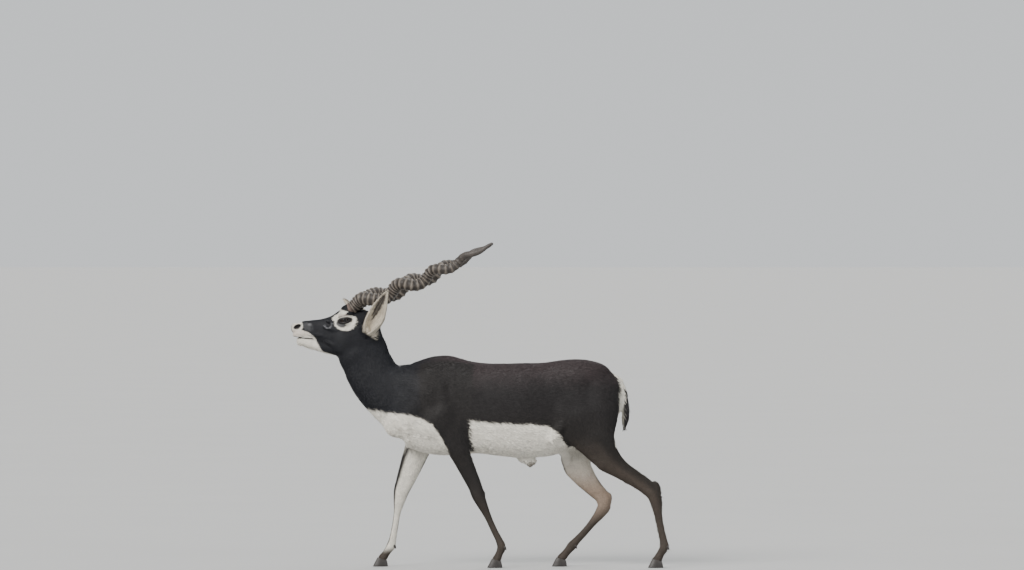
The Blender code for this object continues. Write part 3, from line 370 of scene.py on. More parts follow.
TRUNK_LOFT = Loft(TRUNK, power=2.25, count=60, caps=(0.75, 0.85))
FLESH = [
    (Loft(NECK, power=2.1, caps=(0.6, 0.5)), 3.2),
    (Loft(HEAD, power=2.35, caps=(0.7, 0.6)), 1.6),
    (Loft(JAW, power=2.1, caps=(0.9, 0.5)), 0.8),
    (Loft(FORELEG_LEFT, caps=(0.5, 0.2), count=64), 2.2),
    (Loft(FORELEG_RIGHT, caps=(0.5, 0.2), count=64), 2.2),
    (Loft(HINDLEG_LEFT, caps=(0.6, 0.2), count=64), 2.6),
    (Loft(HINDLEG_RIGHT, caps=(0.6, 0.2), count=64), 2.6),
    (Loft(TAIL, caps=(0.5, 0.9)), 1.4),
]
FLESH += [(Ball(m, h, pitch, both=m[1] > 0), k) for _, m, h, pitch, k in MUSCLES]
FLESH += [(Ball(m, h, pitch), 0.7) for m, h, pitch in HEELS]
FLESH += [(Ball((41.0, 5.2, 43.8), (3.2, 2.2, 5.2)), 3.0)]  # the far thigh running into its gaskin
LID_SHAPE = Ball(EYE_AT, (EYE_RADIUS + LID_THICKNESS,) * 3, both=True)
LID_OPENING = ((EYE_AT[0] - 0.1, EYE_AT[1] + 1.9, EYE_AT[2]), (1.86, 1.9, 0.86), 10)
MOUTH_CORNER = (-59.9, 81.55)
MOUTH_FRONT = (-67.4, 82.5)
def mouth_groove(p, width):
    """Distance from the line of the lips, on both sides and round the front."""
    a, b = np.array(MOUTH_FRONT), np.array(MOUTH_CORNER)
    ab = b - a
    q = p[:, [0, 2]] - a
    t = np.clip(q @ ab / (ab @ ab), 0, 1)
    bow = 0.22 * np.sin(np.pi * t)
    off = q - t[:, None] * ab
    return np.hypot(off[:, 0], off[:, 1] + bow) - width


def edge_points(d, axes):
    """Cell by cell, the mean of the places where the cell's edges cross the surface."""
    shape = np.array(d.shape) - 1
    total = np.zeros((*shape, 3))
    count = np.zeros(shape)
    crossings = []
    inside = d < 0
    grid = np.meshgrid(*axes, indexing="ij")
    for a in range(3):
        lo = [slice(None)] * 3
        hi = [slice(None)] * 3
        lo[a], hi[a] = slice(None, -1), slice(1, None)
        lo, hi = tuple(lo), tuple(hi)
        cross = inside[lo] != inside[hi]
        at = np.argwhere(cross)
        one = d[lo][cross]
        two = d[hi][cross]
        t = one / (one - two)
        point = np.stack([g[lo][cross] for g in grid], 1)
        point[:, a] += t * (axes[a][at[:, a] + 1] - axes[a][at[:, a]])
        b, c = [k for k in range(3) if k != a]
        for db in (0, 1):
            for dc in (0, 1):
                cell = at.copy()
                cell[:, b] -= db
                cell[:, c] -= dc
                fine = (cell >= 0).all(1) & (cell < shape).all(1)
                index = tuple(cell[fine].T)
                np.add.at(total, index, point[fine])
                np.add.at(count, index, 1)
        crossings.append((a, at, inside[lo][cross]))
    return total, count, crossings


def surface(field, axes, skip=3):
    """Vertices and quads of the field's zero level, one vertex a cell."""
    rough = [np.unique(np.r_[a[::skip], a[-1]]) for a in axes]
    places = [np.searchsorted(a, r) for a, r in zip(axes, rough)]
    grid = np.stack(np.meshgrid(*rough, indexing="ij"), -1)
    d = field(grid.reshape(-1, 3)).reshape(grid.shape[:3])
    reach = 1.1 * math.sqrt(sum(np.diff(r).max() ** 2 for r in rough))
    close = np.abs(d) < reach
    cells = np.zeros(np.array(close.shape) - 1, bool)
    for i in (0, 1):
        for j in (0, 1):
            for k in (0, 1):
                cells |= close[
                    i : i + cells.shape[0], j : j + cells.shape[1], k : k + cells.shape[2]
                ]
    want = np.zeros([len(a) for a in axes], bool)
    full = np.zeros(want.shape)
    for i, j, k in np.argwhere(cells):
        want[
            places[0][i] : places[0][i + 1] + 1,
            places[1][j] : places[1][j + 1] + 1,
            places[2][k] : places[2][k + 1] + 1,
        ] = True
    which = [np.clip(np.searchsorted(r, a, "right") - 1, 0, len(r) - 1) for a, r in zip(axes, rough)]
    full[:] = np.where(d[np.ix_(*which)] < 0, -50.0, 50.0)
    at = np.argwhere(want)
    p = np.stack([axes[k][at[:, k]] for k in range(3)], 1)
    full[tuple(at.T)] = field(p)
    total, count, crossings = edge_points(full, axes)
    has = count > 0
    number = np.full(has.shape, -1)
    number[has] = np.arange(has.sum())
    points = total[has] / count[has][:, None]
    quads = []
    for a, at, starts_inside in crossings:
        b, c = [(1, 2), (2, 0), (0, 1)][a]
        ring = []
        for db, dc in ((1, 1), (0, 1), (0, 0), (1, 0)):
            cell = at.copy()
            cell[:, b] -= db
            cell[:, c] -= dc
            ring.append(number[tuple(np.clip(cell, 0, np.array(has.shape) - 1).T)])
        quad = np.stack(ring, 1)
        quad[~starts_inside] = quad[~starts_inside][:, ::-1]
        quads.append(quad)
    return points, np.concatenate(quads)


def horn_line(side, t):
    """Middle line of a horn and its half thickness, the coil turning about the horn's own two cross directions."""
    base = np.array(HORN_BASE) * (1, side, 1)
    tip = np.array(HORN_TIP) * (1, side, 1)
    way = (tip - base) / np.linalg.norm(tip - base)
    up = np.array([0, 0, 1.0]) - way[2] * way
    up /= np.linalg.norm(up)
    out = np.cross(way, up) * (1 if np.cross(way, up)[1] * side > 0 else -1)
    t = np.asarray(t, float)
    s = t - HORN_FIRST_CREST
    lag = FAR_HORN_LAG if side > 0 else 0.0
    turn = 2 * np.pi * (HORN_TURNS * s + HORN_TURNS_GROWTH * s * np.abs(s) - lag * np.clip(t / 0.2, 0, 1))
    coil = HORN_COIL * np.clip(t / 0.12, 0, 1) ** 0.8 * (1 - np.clip((t - 0.45) / 0.55, 0, 1) ** 1.4 * 0.94)
    sag = -1.2 * np.sin(np.pi * t) - 0.4 * np.clip(1 - t / 0.1, 0, 1) ** 2
    middle = (
        base
        + t[:, None] * (tip - base)
        + (coil * np.cos(turn) + sag)[:, None] * up
        + (coil * np.sin(turn))[:, None] * out
    )
    thick = 0.45 + 2.0 * (1 - np.clip(t, 0, 1) ** 2.6) ** 0.8 - 0.2 * np.clip(1 - t / 0.08, 0, 1)
    return middle, thick




# ---- skin ---------------------------------------------------------------------

EYE_SHIFT = (-48.2, -3.35, 88.1)  # where the left eye's middle is in these centimetres
NOSTRIL = ((-65.35, 1.75, 85.85), (1.45, 0.85, 0.58), 22)
GLAND = ((-54.3, 3.4, 86.5), (1.35, 0.5, 0.16), -18)
EARS = [Ear(*EAR_LEFT), Ear(*EAR_RIGHT)]
NOSTRIL_HOLES = Ball(*NOSTRIL, both=True, reach=2)
GLAND_SLITS = Ball(*GLAND, both=True, reach=2)
LID_HOLES = Ball(*LID_OPENING, both=True, reach=2)
# Small forms that the coarser solids leave out: middle, half sizes, pitch, blend, height.
FORMS = [
    (Ball((-58.6, 2.55, 82.9), (3.4, 0.5, 0.7), -8, both=True), 0.6),  # cheek edge above the lips
    (Ball((-53.0, 2.9, 87.2), (2.4, 0.6, 0.55), -20, both=True), 0.5),  # bone in front of the eye
    (Ball((-43.9, 3.9, 86.9), (1.8, 0.7, 0.6), 10, both=True), 0.6),  # arch behind the eye
    (Ball((-52.0, 3.1, 79.2), (4.6, 0.6, 0.8), -24, both=True), 0.8),  # edge of the jaw
    (Ball((-12.5, 7.9, 56.5), (1.9, 1.2, 9.5), 12, both=True), 3.2),  # edge behind the shoulder
    (Ball((-22.5, 6.6, 57.5), (1.5, 1.0, 8.0), 12, both=True), 3.0),  # ridge of the shoulder blade
    (Ball((43.6, 4.4, 62.0), (2.0, 1.0, 2.4), 0, both=True), 2.4),  # pin bone
    (Ball((27.5, 8.0, 48.5), (1.3, 0.9, 6.0), -32, both=True), 2.4),  # fold of the flank
    (Ball((17.7, 0.0, 37.3), (1.5, 1.0, 1.9), 12), 0.8),  # end of the sheath
    (Ball((45.55, 5.9, 22.1), (1.05, 0.8, 1.6), 4), 1.0),  # rear of the far hock, below its point
    (Ball((63.15, -5.9, 27.3), (0.95, 0.8, 1.5), 14), 1.0),  # rear of the near hock, below its point
]


def ramp(x, a, b):
    t = np.clip((x - a) / (b - a), 0, 1)
    return t * t * (3 - 2 * t)


def coat_depth(p):
    """How deep the coat lies over the skin, in centimetres: thin on the face and the lower legs."""
    x, y, z = p.T
    depth = 0.16 + 0.16 * ramp(z, 26, 46)
    face = ramp(-x, 40.5, 48.0) * ramp(z, 72, 77)
    return depth * (1 - face) + 0.09 * face


def skin(p):
    d = near(TRUNK_LOFT, p)
    for shape, k in FLESH:
        d = smooth_min(d, near(shape, p), k)
    for shape, k in FORMS:
        d = smooth_min(d, near(shape, p), k)
    d = smooth_min(d, near(LID_SHAPE, p), 0.35)
    d = d + coat_depth(p)
    for ear in EARS:
        d = smooth_min(d, near(ear, p) + 0.04, 0.5)
    # Ribs, barely seen, and the folds of skin behind the elbow.
    x, y, z = p.T
    side = ramp(np.abs(y), 5, 8.5) * ramp(z, 44, 50) * (1 - ramp(z, 62, 68)) * ramp(x, -6, 0) * (1 - ramp(x, 16, 24))
    d = d + 0.018 * side * np.sin(2 * math.pi * (x + 0.42 * (z - 56)) / 3.1)
    fold = ramp(np.abs(y), 4, 6) * np.exp(-(((x + 2.6) / 2.2) ** 2)) * np.exp(-(((z - 42.5) / 3.6) ** 2))
    d = d + 0.12 * fold * np.sin(2 * math.pi * (x - 0.5 * (z - 42)) / 1.5)
    # Creases of the neck where it bends under the jaw.
    crease = np.exp(-(((x + 45.5 + 0.5 * (78 - z)) / 3.2) ** 2)) * (1 - ramp(z, 73, 79)) * ramp(z, 64, 70)
    d = d + 0.05 * crease * np.sin(2 * math.pi * (z + 0.75 * x) / 1.9)
    head = (x < -42) & (z > 74)
    if head.any():
        q = p[head]
        e = d[head]
        e = np.maximum(e, -near(LID_HOLES, q))
        e = -smooth_min(-e, near(NOSTRIL_HOLES, q), 0.18)
        e = -smooth_min(-e, near(GLAND_SLITS, q), 0.12)
        e = -smooth_min(-e, mouth_groove(q, 0.15), 0.12)
        lips = np.exp(-((mouth_groove(q, 0) / 0.55) ** 2))
        d[head] = e - 0.05 * lips
    # Each leg ends in its hooves, along the coronet.
    low = z < 8
    if low.any():
        q = p[low]
        e = np.full(low.sum(), 50.0)
        slope = (HOOF_HEEL_HEIGHT - HOOF_TOE_HEIGHT) / (0.7 * HOOF_LENGTH)
        floor = np.full(low.sum(), 50.0)
        for toe, foot_y in FEET.values():
            here = (np.abs(q[:, 0] - toe - 3.5) < 6) & (np.abs(q[:, 1] - foot_y) < 4)
            top = HOOF_TOE_HEIGHT + slope * (q[:, 0] - toe - 1.65)
            floor = np.where(here, top - 0.25 - q[:, 2], floor)
        d[low] = np.maximum(d[low], floor)
    return d


def spread(field):
    """The field worked out on all cores, in small pieces."""

    def run(p):
        if len(p) < 4000:
            return field(p)
        with ThreadPoolExecutor(4) as pool:
            return np.concatenate(list(pool.map(field, np.array_split(p, max(4, len(p) // 12000)))))

    return run


def steps(*runs):
    """Grid places: each run is (to, step), from the first number on."""
    at = [np.array([runs[0]])]
    for to, step in runs[1:]:
        start = at[-1][-1]
        n = max(1, int(round((to - start) / step)))
        at.append(np.linspace(start, to, n + 1)[1:])
    return np.concatenate(at)


def settle_skin(field, p, quads, rounds=2, most=0.25):
    """Even out the vertices along the surface, then put them back on it."""
    ends = np.concatenate([quads[:, [0, 1]], quads[:, [1, 2]], quads[:, [2, 3]], quads[:, [3, 0]]])
    ends = np.unique(np.sort(ends, 1), axis=0)
    count = np.maximum(np.bincount(ends.ravel(), minlength=len(p)), 1)
    for _ in range(rounds):
        total = np.stack(
            [
                np.bincount(ends[:, 0], p[ends[:, 1], k], len(p)) + np.bincount(ends[:, 1], p[ends[:, 0], k], len(p))
                for k in range(3)
            ],
            1,
        )
        p = 0.5 * p + 0.5 * total / count[:, None]
        d = field(p)
        g = np.stack([(field(p + step) - d) / 0.05 for step in np.eye(3) * 0.05], 1)
        size = np.maximum((g**2).sum(1), 0.1)
        move = -(d / size)[:, None] * g
        long = np.linalg.norm(move, axis=1)
        p = p + move * np.minimum(1, most / np.maximum(long, 1e-9))[:, None]
    return p


# Places where two forms meet too sharply: middle, reach and rounds of smoothing, on both sides.
SOFT_SPOTS = (
    ((-17.5, 5.0, 70.5), 9.0, 90),
    ((-24.0, 4.0, 66.0), 7.0, 60),
    ((-49.8, 0.0, 73.0), 6.0, 90),
    ((-32.0, 2.0, 47.5), 7.0, 60),
    ((21.0, 3.0, 71.5), 8.0, 60),
    ((24.5, 7.0, 45.0), 5.0, 30),
    ((46.5, 1.5, 67.5), 3.5, 25),
    ((36.0, 0.0, 73.0), 9.0, 90),
    ((41.0, 5.2, 41.5), 7.0, 120),
    ((28.8, 5.5, 38.6), 6.5, 70),
    ((17.8, 0.0, 36.0), 2.2, 6),
    ((45.8, 5.9, 22.6), 2.6, 14),
    ((1.0, 5.6, 25.4), 2.0, 8),
)


def soothe(p, quads, spots):
    """Smooth the surface round these places, most at the middle of each."""
    ends = np.concatenate([quads[:, [0, 1]], quads[:, [1, 2]], quads[:, [2, 3]], quads[:, [3, 0]]])
    ends = np.unique(np.sort(ends, 1), axis=0)
    for (x, y, z), reach, rounds in spots:
        away = np.sqrt((p[:, 0] - x) ** 2 + (np.abs(p[:, 1]) - y) ** 2 + (p[:, 2] - z) ** 2)
        share = 0.6 * (1 - ramp(away, 0.35 * reach, reach))
        some = np.flatnonzero(share > 0)
        if not len(some):
            continue
        mark = np.zeros(len(p), bool)
        mark[some] = True
        link = ends[mark[ends[:, 0]] | mark[ends[:, 1]]]
        count = np.maximum(np.bincount(link.ravel(), minlength=len(p)), 1)
        for _ in range(rounds):
            total = np.stack(
                [
                    np.bincount(link[:, 0], p[link[:, 1], k], len(p)) + np.bincount(link[:, 1], p[link[:, 0], k], len(p))
                    for k in range(3)
                ],
                1,
            )
            p = p.copy()
            p[some] += share[some, None] * (total[some] / count[some, None] - p[some])
    return p


def vertex_normals(p, quads):
    a = np.cross(p[quads[:, 2]] - p[quads[:, 0]], p[quads[:, 3]] - p[quads[:, 1]])
    n = np.stack([sum(np.bincount(quads[:, c], a[:, k], len(p)) for c in range(4)) for k in range(3)], 1)
    return n / np.maximum(np.linalg.norm(n, axis=1), 1e-12)[:, None]


SIZE = 1.06
XS = steps(-69.5, (-52.5, 0.25 * SIZE), (-44.5, 0.2 * SIZE), (-31.0, 0.27 * SIZE), (69.5, 0.64 * SIZE))
YS = steps(-16.6, (16.6, 0.27 * SIZE))
ZS = steps(1.2, (44.0, 0.45 * SIZE), (73.5, 0.64 * SIZE), (86.0, 0.27 * SIZE), (90.2, 0.19 * SIZE), (100.0, 0.27 * SIZE))
SKIN = spread(skin)
skin_p, skin_q = surface(SKIN, (XS, YS, ZS))
skin_p = settle_skin(SKIN, skin_p, skin_q)
skin_p = soothe(skin_p, skin_q, SOFT_SPOTS)
skin_n = vertex_normals(skin_p, skin_q)
print("skin", len(skin_p), "points", 2 * len(skin_q), "triangles")


# ---- where on the animal a point is ---------------------------------------------

LIMBS = {
    "trunk": TRUNK_LOFT,
    "neck": FLESH[0][0],
    "head": FLESH[1][0],
    "jaw": FLESH[2][0],
    "foreleg_left": FLESH[3][0],
    "foreleg_right": FLESH[4][0],
    "hindleg_left": FLESH[5][0],
    "hindleg_right": FLESH[6][0],
    "tail": FLESH[7][0],
}
NAMES = list(LIMBS) + ["ear_left", "ear_right"]


def on_loft(loft, p):
    """Distance, place along it in centimetres, angle round it, and its way, point by point."""
    q = p[:, [0, 2]]
    rel = q[:, None] - loft.c[None, :-1]
    t = np.clip((rel * loft.way).sum(2), 0, loft.len)
    off = rel - t[..., None] * loft.way
    i = np.argmin((off**2).sum(2), axis=1)
    n = np.arange(len(p))
    start = np.concatenate([[0], np.cumsum(loft.len)])
    along = start[i] + t[n, i]
    way = loft.way[i]
    u = off[n, i, 0] * way[:, 1] - off[n, i, 1] * way[:, 0]
    y = loft.r[i, 3]
    return along, np.arctan2(p[:, 1] - y, -u), way, p[:, 1] - y, loft.r[i, 2]


def place(p):
    """For each point: nearest limb, lie of the coat, along and round the limb, and how far out from the limb's middle plane."""
    n = len(p)
    dist = np.full((n, len(NAMES)), 60.0)
    lie = np.zeros((n, 3))
    total = np.zeros(n)
    along, turn, out = np.zeros((3, n))
    best = np.full(n, 1e9)
    which = np.zeros(n, int)
    for k, (name, loft) in enumerate(LIMBS.items()):
        dist[:, k] = near(loft, p, 60.0)
    for k, ear in enumerate(EARS):
        dist[:, len(LIMBS) + k] = near(ear, p, 60.0) - 0.3
    for k, name in enumerate(LIMBS):
        if "leg" in name:
            dist[:, k] += 9.0 * ramp(p[:, 2], 57, 67)
    least = dist.min(1)
    for k, name in enumerate(NAMES):
        d = dist[:, k]
        hit = d < least + 9
        if not hit.any():
            continue
        q = p[hit]
        if k < len(LIMBS):
            s, a, way, away, half = on_loft(LIMBS[name], q)
            w3 = np.stack([way[:, 0], np.zeros(len(q)), way[:, 1]], 1)
            if name == "trunk":
                w3[:, 2] -= 0.42 * ramp(np.abs(q[:, 1]), 2, 7)
                low = (ramp(q[:, 0], 20, 26) * (1 - ramp(q[:, 2], 41, 49)))[:, None]
                w3 = w3 + low * (np.array((0.5, 0.0, -1.0)) - w3)
            away = away / half * np.where(q[:, 1] < 0, -1, 1)
        else:
            ear = EARS[k - len(LIMBS)]
            r = q - ear.root
            s = r @ ear.up
            a = np.arctan2(r @ ear.side, -(r @ ear.open) - 1.0)
            w3 = np.tile(ear.up, (len(q), 1))
            away = np.ones(len(q))
        weight = np.exp(-(d[hit] - least[hit]) / 1.3)
        lie[hit] += weight[:, None] * w3
        total[hit] += weight
        better = d[hit] < best[hit]
        index = np.flatnonzero(hit)[better]
        best[index] = d[hit][better]
        which[index] = k
        along[index], turn[index], out[index] = s[better], a[better], away[better]
    lie /= np.maximum(np.linalg.norm(lie, axis=1), 1e-9)[:, None]
    return which, lie, along, turn, out, dist


# ---- markings, from side-view outlines -------------------------------------------

BLACK = np.array((0.0052, 0.0056, 0.0085))
BACK = np.array((0.0105, 0.0086, 0.0090))
# Painted sheen: a lighter purplish brown for the top of the back.
BACK_TOP_PAINTED_SHEEN = np.array((0.0310, 0.0215, 0.0225))
LEG = np.array((0.0130, 0.0105, 0.0095))
GREY = np.array((0.105, 0.079, 0.060))
WHITE = np.array((0.700, 0.665, 0.590))
CREAM = np.array((0.640, 0.575, 0.470))
PINK = np.array((0.500, 0.400, 0.350))
BARE = np.array((0.020, 0.016, 0.017))
ASH = np.array((0.150, 0.150, 0.158))
EYE_RING = ((-52.2, 87.2), (-51.9, 86.2), (-51.0, 85.2), (-49.4, 84.5), (-47.6, 84.4), (-45.9, 85.0), (-44.8, 86.0), (-44.4, 87.2), (-44.2, 88.3), (-44.7, 89.3), (-46.1, 89.9), (-48.4, 89.7), (-50.6, 89.0), (-51.8, 88.2))
BROW = ((-53.4, 89.6), (-52.6, 88.0), (-51.8, 87.9), (-50.4, 89.4), (-48.4, 90.0), (-47.2, 91.2), (-49.8, 91.9), (-51.4, 91.1), (-52.6, 90.4))
LIP = ((-70.0, 88.6), (-66.4, 88.4), (-64.6, 87.9), (-63.7, 87.3), (-63.3, 86.5), (-63.4, 85.6), (-63.9, 84.8), (-62.9, 84.3), (-61.7, 84.0), (-60.6, 83.3), (-59.5, 82.4), (-58.7, 81.2), (-58.1, 79.9), (-57.3, 78.3), (-56.2, 77.0), (-53.6, 76.2), (-50.5, 75.0), (-50.5, 73.4), (-70.0, 73.4))
GLAND_HOOK = ((-55.7, 86.3), (-55.3, 85.6), (-54.6, 85.3), (-53.7, 85.5), (-53.2, 86.2), (-53.0, 87.1))
EAR_DARK = ((-38.9, 87.6), (-38.4, 90.2), (-37.7, 92.2), (-36.7, 94.4), (-34.9, 96.8), (-33.5, 97.4), (-33.7, 95.2), (-35.0, 92.6), (-36.7, 90.2))
EAR_BASE = ((-41.8, 84.2), (-40.8, 88.0), (-38.6, 90.2), (-35.8, 88.6), (-35.6, 84.2), (-38.0, 81.8))


def polygon(x, z, corners):
    """Signed distance to an outline in the side view, negative inside."""
    c = np.array(corners, float)
    best = np.full(len(x), 1e9)
    inside = np.zeros(len(x), bool)
    for (x0, z0), (x1, z1) in zip(c, np.roll(c, -1, 0)):
        ex, ez = x1 - x0, z1 - z0
        t = np.clip(((x - x0) * ex + (z - z0) * ez) / (ex * ex + ez * ez), 0, 1)
        best = np.minimum(best, np.hypot(x - x0 - t * ex, z - z0 - t * ez))
        cross = (z0 > z) != (z1 > z)
        with np.errstate(divide="ignore", invalid="ignore"):
            inside ^= cross & (x < ex * (z - z0) / (ez if ez else 1e-9) + x0)
    return np.where(inside, -best, best)


def stroke(x, z, knots):
    """Distance to a line drawn through these points in the side view."""
    best = np.full(len(x), 1e9)
    for (x0, z0), (x1, z1) in zip(knots[:-1], knots[1:]):
        ex, ez = x1 - x0, z1 - z0
        t = np.clip(((x - x0) * ex + (z - z0) * ez) / (ex * ex + ez * ez), 0, 1)
        best = np.minimum(best, np.hypot(x - x0 - t * ex, z - z0 - t * ez))
    return best


def soft(d, width):
    """1 inside, 0 outside, over that width."""
    return ramp(-d, -width / 2, width / 2)


def line(at, *knots):
    k = np.array(knots, float)
    return np.interp(at, k[:, 0], k[:, 1])


def wobble(p, size, seed):
    """A gentle, repeatable unevenness between -1 and 1."""
    rng = np.random.default_rng(seed)
    out = np.zeros(len(p))
    for _ in range(4):
        wave = rng.normal(size=3)
        wave *= 2 * math.pi / size * rng.uniform(0.7, 1.5) / np.linalg.norm(wave)
        out += np.sin(p @ wave + rng.uniform(0, 6.28))
    return out / 4


def markings(p, where, blur=1.0):
    """Colour of coat and skin at each point."""
    which, lie, along, turn, out, dist = where
    x, y, z = p.T
    ay = np.abs(y)
    rough = wobble(p, 2.3, 5) * 0.25
    xr, zr = x + rough, z + wobble(p, 2.6, 6) * 0.25

    # Dark upper side: brown-black back, blacker towards the neck and face, with a painted sheen lightening the top of
    # the back.
    front = ramp(-x + 0.35 * (z - 60), 14, 30)
    c = BACK + (BLACK - BACK) * front[:, None]
    # Painted sheen: a lighter purplish brown along the top of the back, where the light from above catches the coat.
    top = ramp(z + 0.8 * wobble(p, 9.0, 9), 62, 72) * (1 - front)
    c = c + (BACK_TOP_PAINTED_SHEEN - c) * (top * 0.85)[:, None]
    low = (1 - ramp(z, 47, 60))[:, None]
    c = c + (LEG * 0.85 - c) * low * (1 - front[:, None])

    def lay(c, share, colour):
        return c + share[:, None] * (np.asarray(colour) - c)

    fore = {-1: LIMBS["foreleg_left"], 1: LIMBS["foreleg_right"]}
    # White under side, from the throat's foot to the groin.
    border = line(xr, (-46, 59.5), (-41.4, 57.4), (-35, 55.8), (-29, 55.2), (-22.9, 54.2), (-18, 51.8), (-12, 52.6), (-5, 53.0), (-0.4, 52.3), (8.9, 51.5), (18.2, 51.3), (23.9, 50.6), (27.9, 47.6), (31.4, 42.6), (33.5, 36.0), (50, 30.0))
    belly = soft(zr - border, 0.9 * blur) * ramp(x, -44, -40) * (1 - ramp(x, 46, 48))
    c = lay(c, belly, WHITE)
    # The dark shoulder comes down over the leg on each side.
    for side, loft in fore.items():
        axis_x = np.interp(z, loft.c[::-1, 1], loft.c[::-1, 0])
        half = line(z, (36, 4.6), (41, 4.2), (47, 5.2), (52, 7.0), (56, 9.5))
        lean = line(z, (36, 0.0), (44, 0.6), (52, 1.0))
        band = soft(np.abs(xr - axis_x - lean) - half, 1.0 * blur) * ramp(y * side, 2.6, 4.2) * ramp(z, 37, 40)
        c = lay(c, band, LEG * 0.8 + BLACK * 0.2)
    # Legs: dark outside, white inside, greyer towards the hooves.
    for k, name in enumerate(NAMES):
        if "leg" not in name:
            continue
        hind = name.startswith("hind")
        top = 46.0 if hind else 42.5
        here = (which == k) & (z < top + 4)
        if not here.any():
            continue
        share = here * (1 - ramp(z, top - 3, top + 3))
        if hind:
            shade = LEG + (GREY - LEG) * ((1 - ramp(z, 30, 52)) * 0.42)[:, None]
            rear = ramp(turn_back(turn, out), -0.2, 0.8)
            shade = shade * (1 - 0.62 * rear * ramp(z, 20, 30))[:, None]
        else:
            shade = LEG * 0.9 + (GREY * 0.8 - LEG * 0.9) * ((1 - ramp(z, 8, 34)) * 0.5)[:, None]
        inner = soft(out + 0.18 + 0.12 * np.sin(along * 0.5), 0.35) * ramp(z, 4.5, 7.5)
        pale = WHITE * 0.95
        if hind:
            inner = inner * ramp(z, 14, 24)
            # Inside the hind legs the white turns grey-brown from the thigh down to the hock: partly the hair's own
            # greyer tone, partly painted shade.
            pale = GREY * 2.2 + (WHITE * 0.85 - GREY * 2.2) * ramp(z, 26, 42)[:, None]
        shade = shade + inner[:, None] * (pale - shade)
        # A dark line down the front of the forelegs.
        if not hind:
            frontal = soft(np.abs(turn_front(turn)) - 0.55, 0.4) * ramp(z, 5, 9)
            shade = shade + frontal[:, None] * (LEG - shade)
        c = lay(c, share.astype(float), 0) + share[:, None] * shade
    # Inside of the thighs, the groin and the scrotum.
    groin = soft(ay - line(z, (40, 2.6), (46, 3.4), (54, 2.2), (60, 0.8)), 1.2) * ramp(x, 18, 26) * (1 - ramp(z, 54, 60))
    c = lay(c, groin, WHITE * 0.92)
    sheath = soft(np.hypot(x - 17.8, (z - 35.9) / 1.2) - 1.1, 1.6) * (1 - ramp(ay, 1.6, 2.4))
    c = lay(c, sheath * 0.85, GREY * 0.9)
    # Narrow white buttocks round the tail, and its under side.
    rump = soft(ay - line(z, (44, 2.4), (52, 4.2), (60, 4.4), (66, 2.4), (69, 0.5)), 1.0) * ramp(x, 44.2, 46.6)
    c = lay(c, rump, WHITE)
    tail = dist[:, NAMES.index("tail")] < np.minimum(dist[:, 0], 30) - 0.2
    tail_shade = BACK * 1.3
    behind = ramp(x, 50.6, 51.6)
    c = np.where((tail & (x > 47))[:, None], WHITE + behind[:, None] * (tail_shade - WHITE), c)

    # Head.
    ring = soft(polygon(xr * 0.4 + x * 0.6, zr * 0.4 + z * 0.6, EYE_RING), 0.5 * blur) * ramp(ay, 1.4, 2.2)
    c = lay(c, ring, WHITE)
    # A dark grey patch below and in front of the eye, inside the white ring.
    dark_patch_below_eye = soft((np.hypot((x + 49.7) / 1.75, (z - 86.85 + 0.2 * (x + 49.7)) / 1.25) - 1) * 1.3, 0.55) * ramp(ay, 1.6, 2.4)
    c = lay(c, dark_patch_below_eye * 0.95, ASH * 0.36)
    corner = soft((np.hypot((x + 49.3) / 1.1, (z - 86.5) / 0.5) - 1) * 0.6, 0.5) * ramp(ay, 1.6, 2.4)
    c = lay(c, corner * 0.5, ASH * 0.9)
    brow = soft(polygon(x, z, BROW), 0.4 * blur) * ramp(ay + 0.25 * wobble(p, 1.8, 14), 1.5, 2.2)
    c = lay(c, brow, WHITE)
    lid = soft((np.hypot((x - EYE_AT[0] + 0.15) / 2.75, (z - EYE_AT[2] + 0.05 - 0.12 * (x - EYE_AT[0])) / 1.3) - 1) * 1.3, 0.25) * ramp(ay, 2.4, 3.0)
    c = lay(c, lid, BARE * 0.6)
    lip = soft(polygon(xr * 0.5 + x * 0.5, z, LIP), 0.5 * blur) * (x < -52)
    c = lay(c, lip, WHITE * 0.97)
    pinkish = lip * soft(np.abs(z - 83.6) - 1.0, 1.0) * (1 - ramp(x, -63, -60))
    c = lay(c, pinkish * 0.45, PINK)
    warm = soft(np.hypot((x + 48.9) / 1.7, (z - 89.9) / 0.5) - 1, 0.8) * ramp(ay, 1.4, 2.2)
    c = lay(c, warm * 0.45, PINK * 0.7)
    hook = soft(stroke(x, z, GLAND_HOOK) - 0.17 - 0.06 * wobble(p, 0.9, 12), 0.3) * ramp(ay, 1.6, 2.2)
    c = lay(c, hook * 0.8, ASH * 1.35)
    dusk = soft((np.hypot((x + 61.9) / 1.8, (z - 86.0 + 0.3 * (x + 61.9)) / 1.45) - 1) * 1.4 + 0.4 * wobble(p, 1.4, 11), 1.2) * ramp(ay, 0.8, 1.5)
    c = lay(c, dusk * 0.75 * (1 - lip), ASH * 0.42)
    glint = soft((np.hypot((x + 60.9) / 0.6, (z - 86.6) / 0.45) - 1) * 0.5, 0.5) * ramp(ay, 0.8, 1.5)
    c = lay(c, glint * 0.6, ASH)
    slit = soft(near(GLAND_SLITS, p) - 0.12, 0.2)
    c = lay(c, slit, BARE * 0.5)
    nostril = soft(near(NOSTRIL_HOLES, p) - 0.24, 0.25)
    c = lay(c, nostril, BARE * 0.6)
    pad = soft((np.hypot(ay / 0.75, (z - 84.9) / 1.15) - 1) * 0.8, 0.5) * (x < -66.2)
    c = lay(c, pad * 0.75, BARE * 3.0)
    mouth = soft(mouth_groove(p, 0.24), 0.2) * (x < -58)
    c = lay(c, mouth, BARE)
    base = soft(polygon(x, z, EAR_BASE), 1.1) * ramp(ay, 3.0, 3.8)
    c = lay(c, base, CREAM * 0.92)
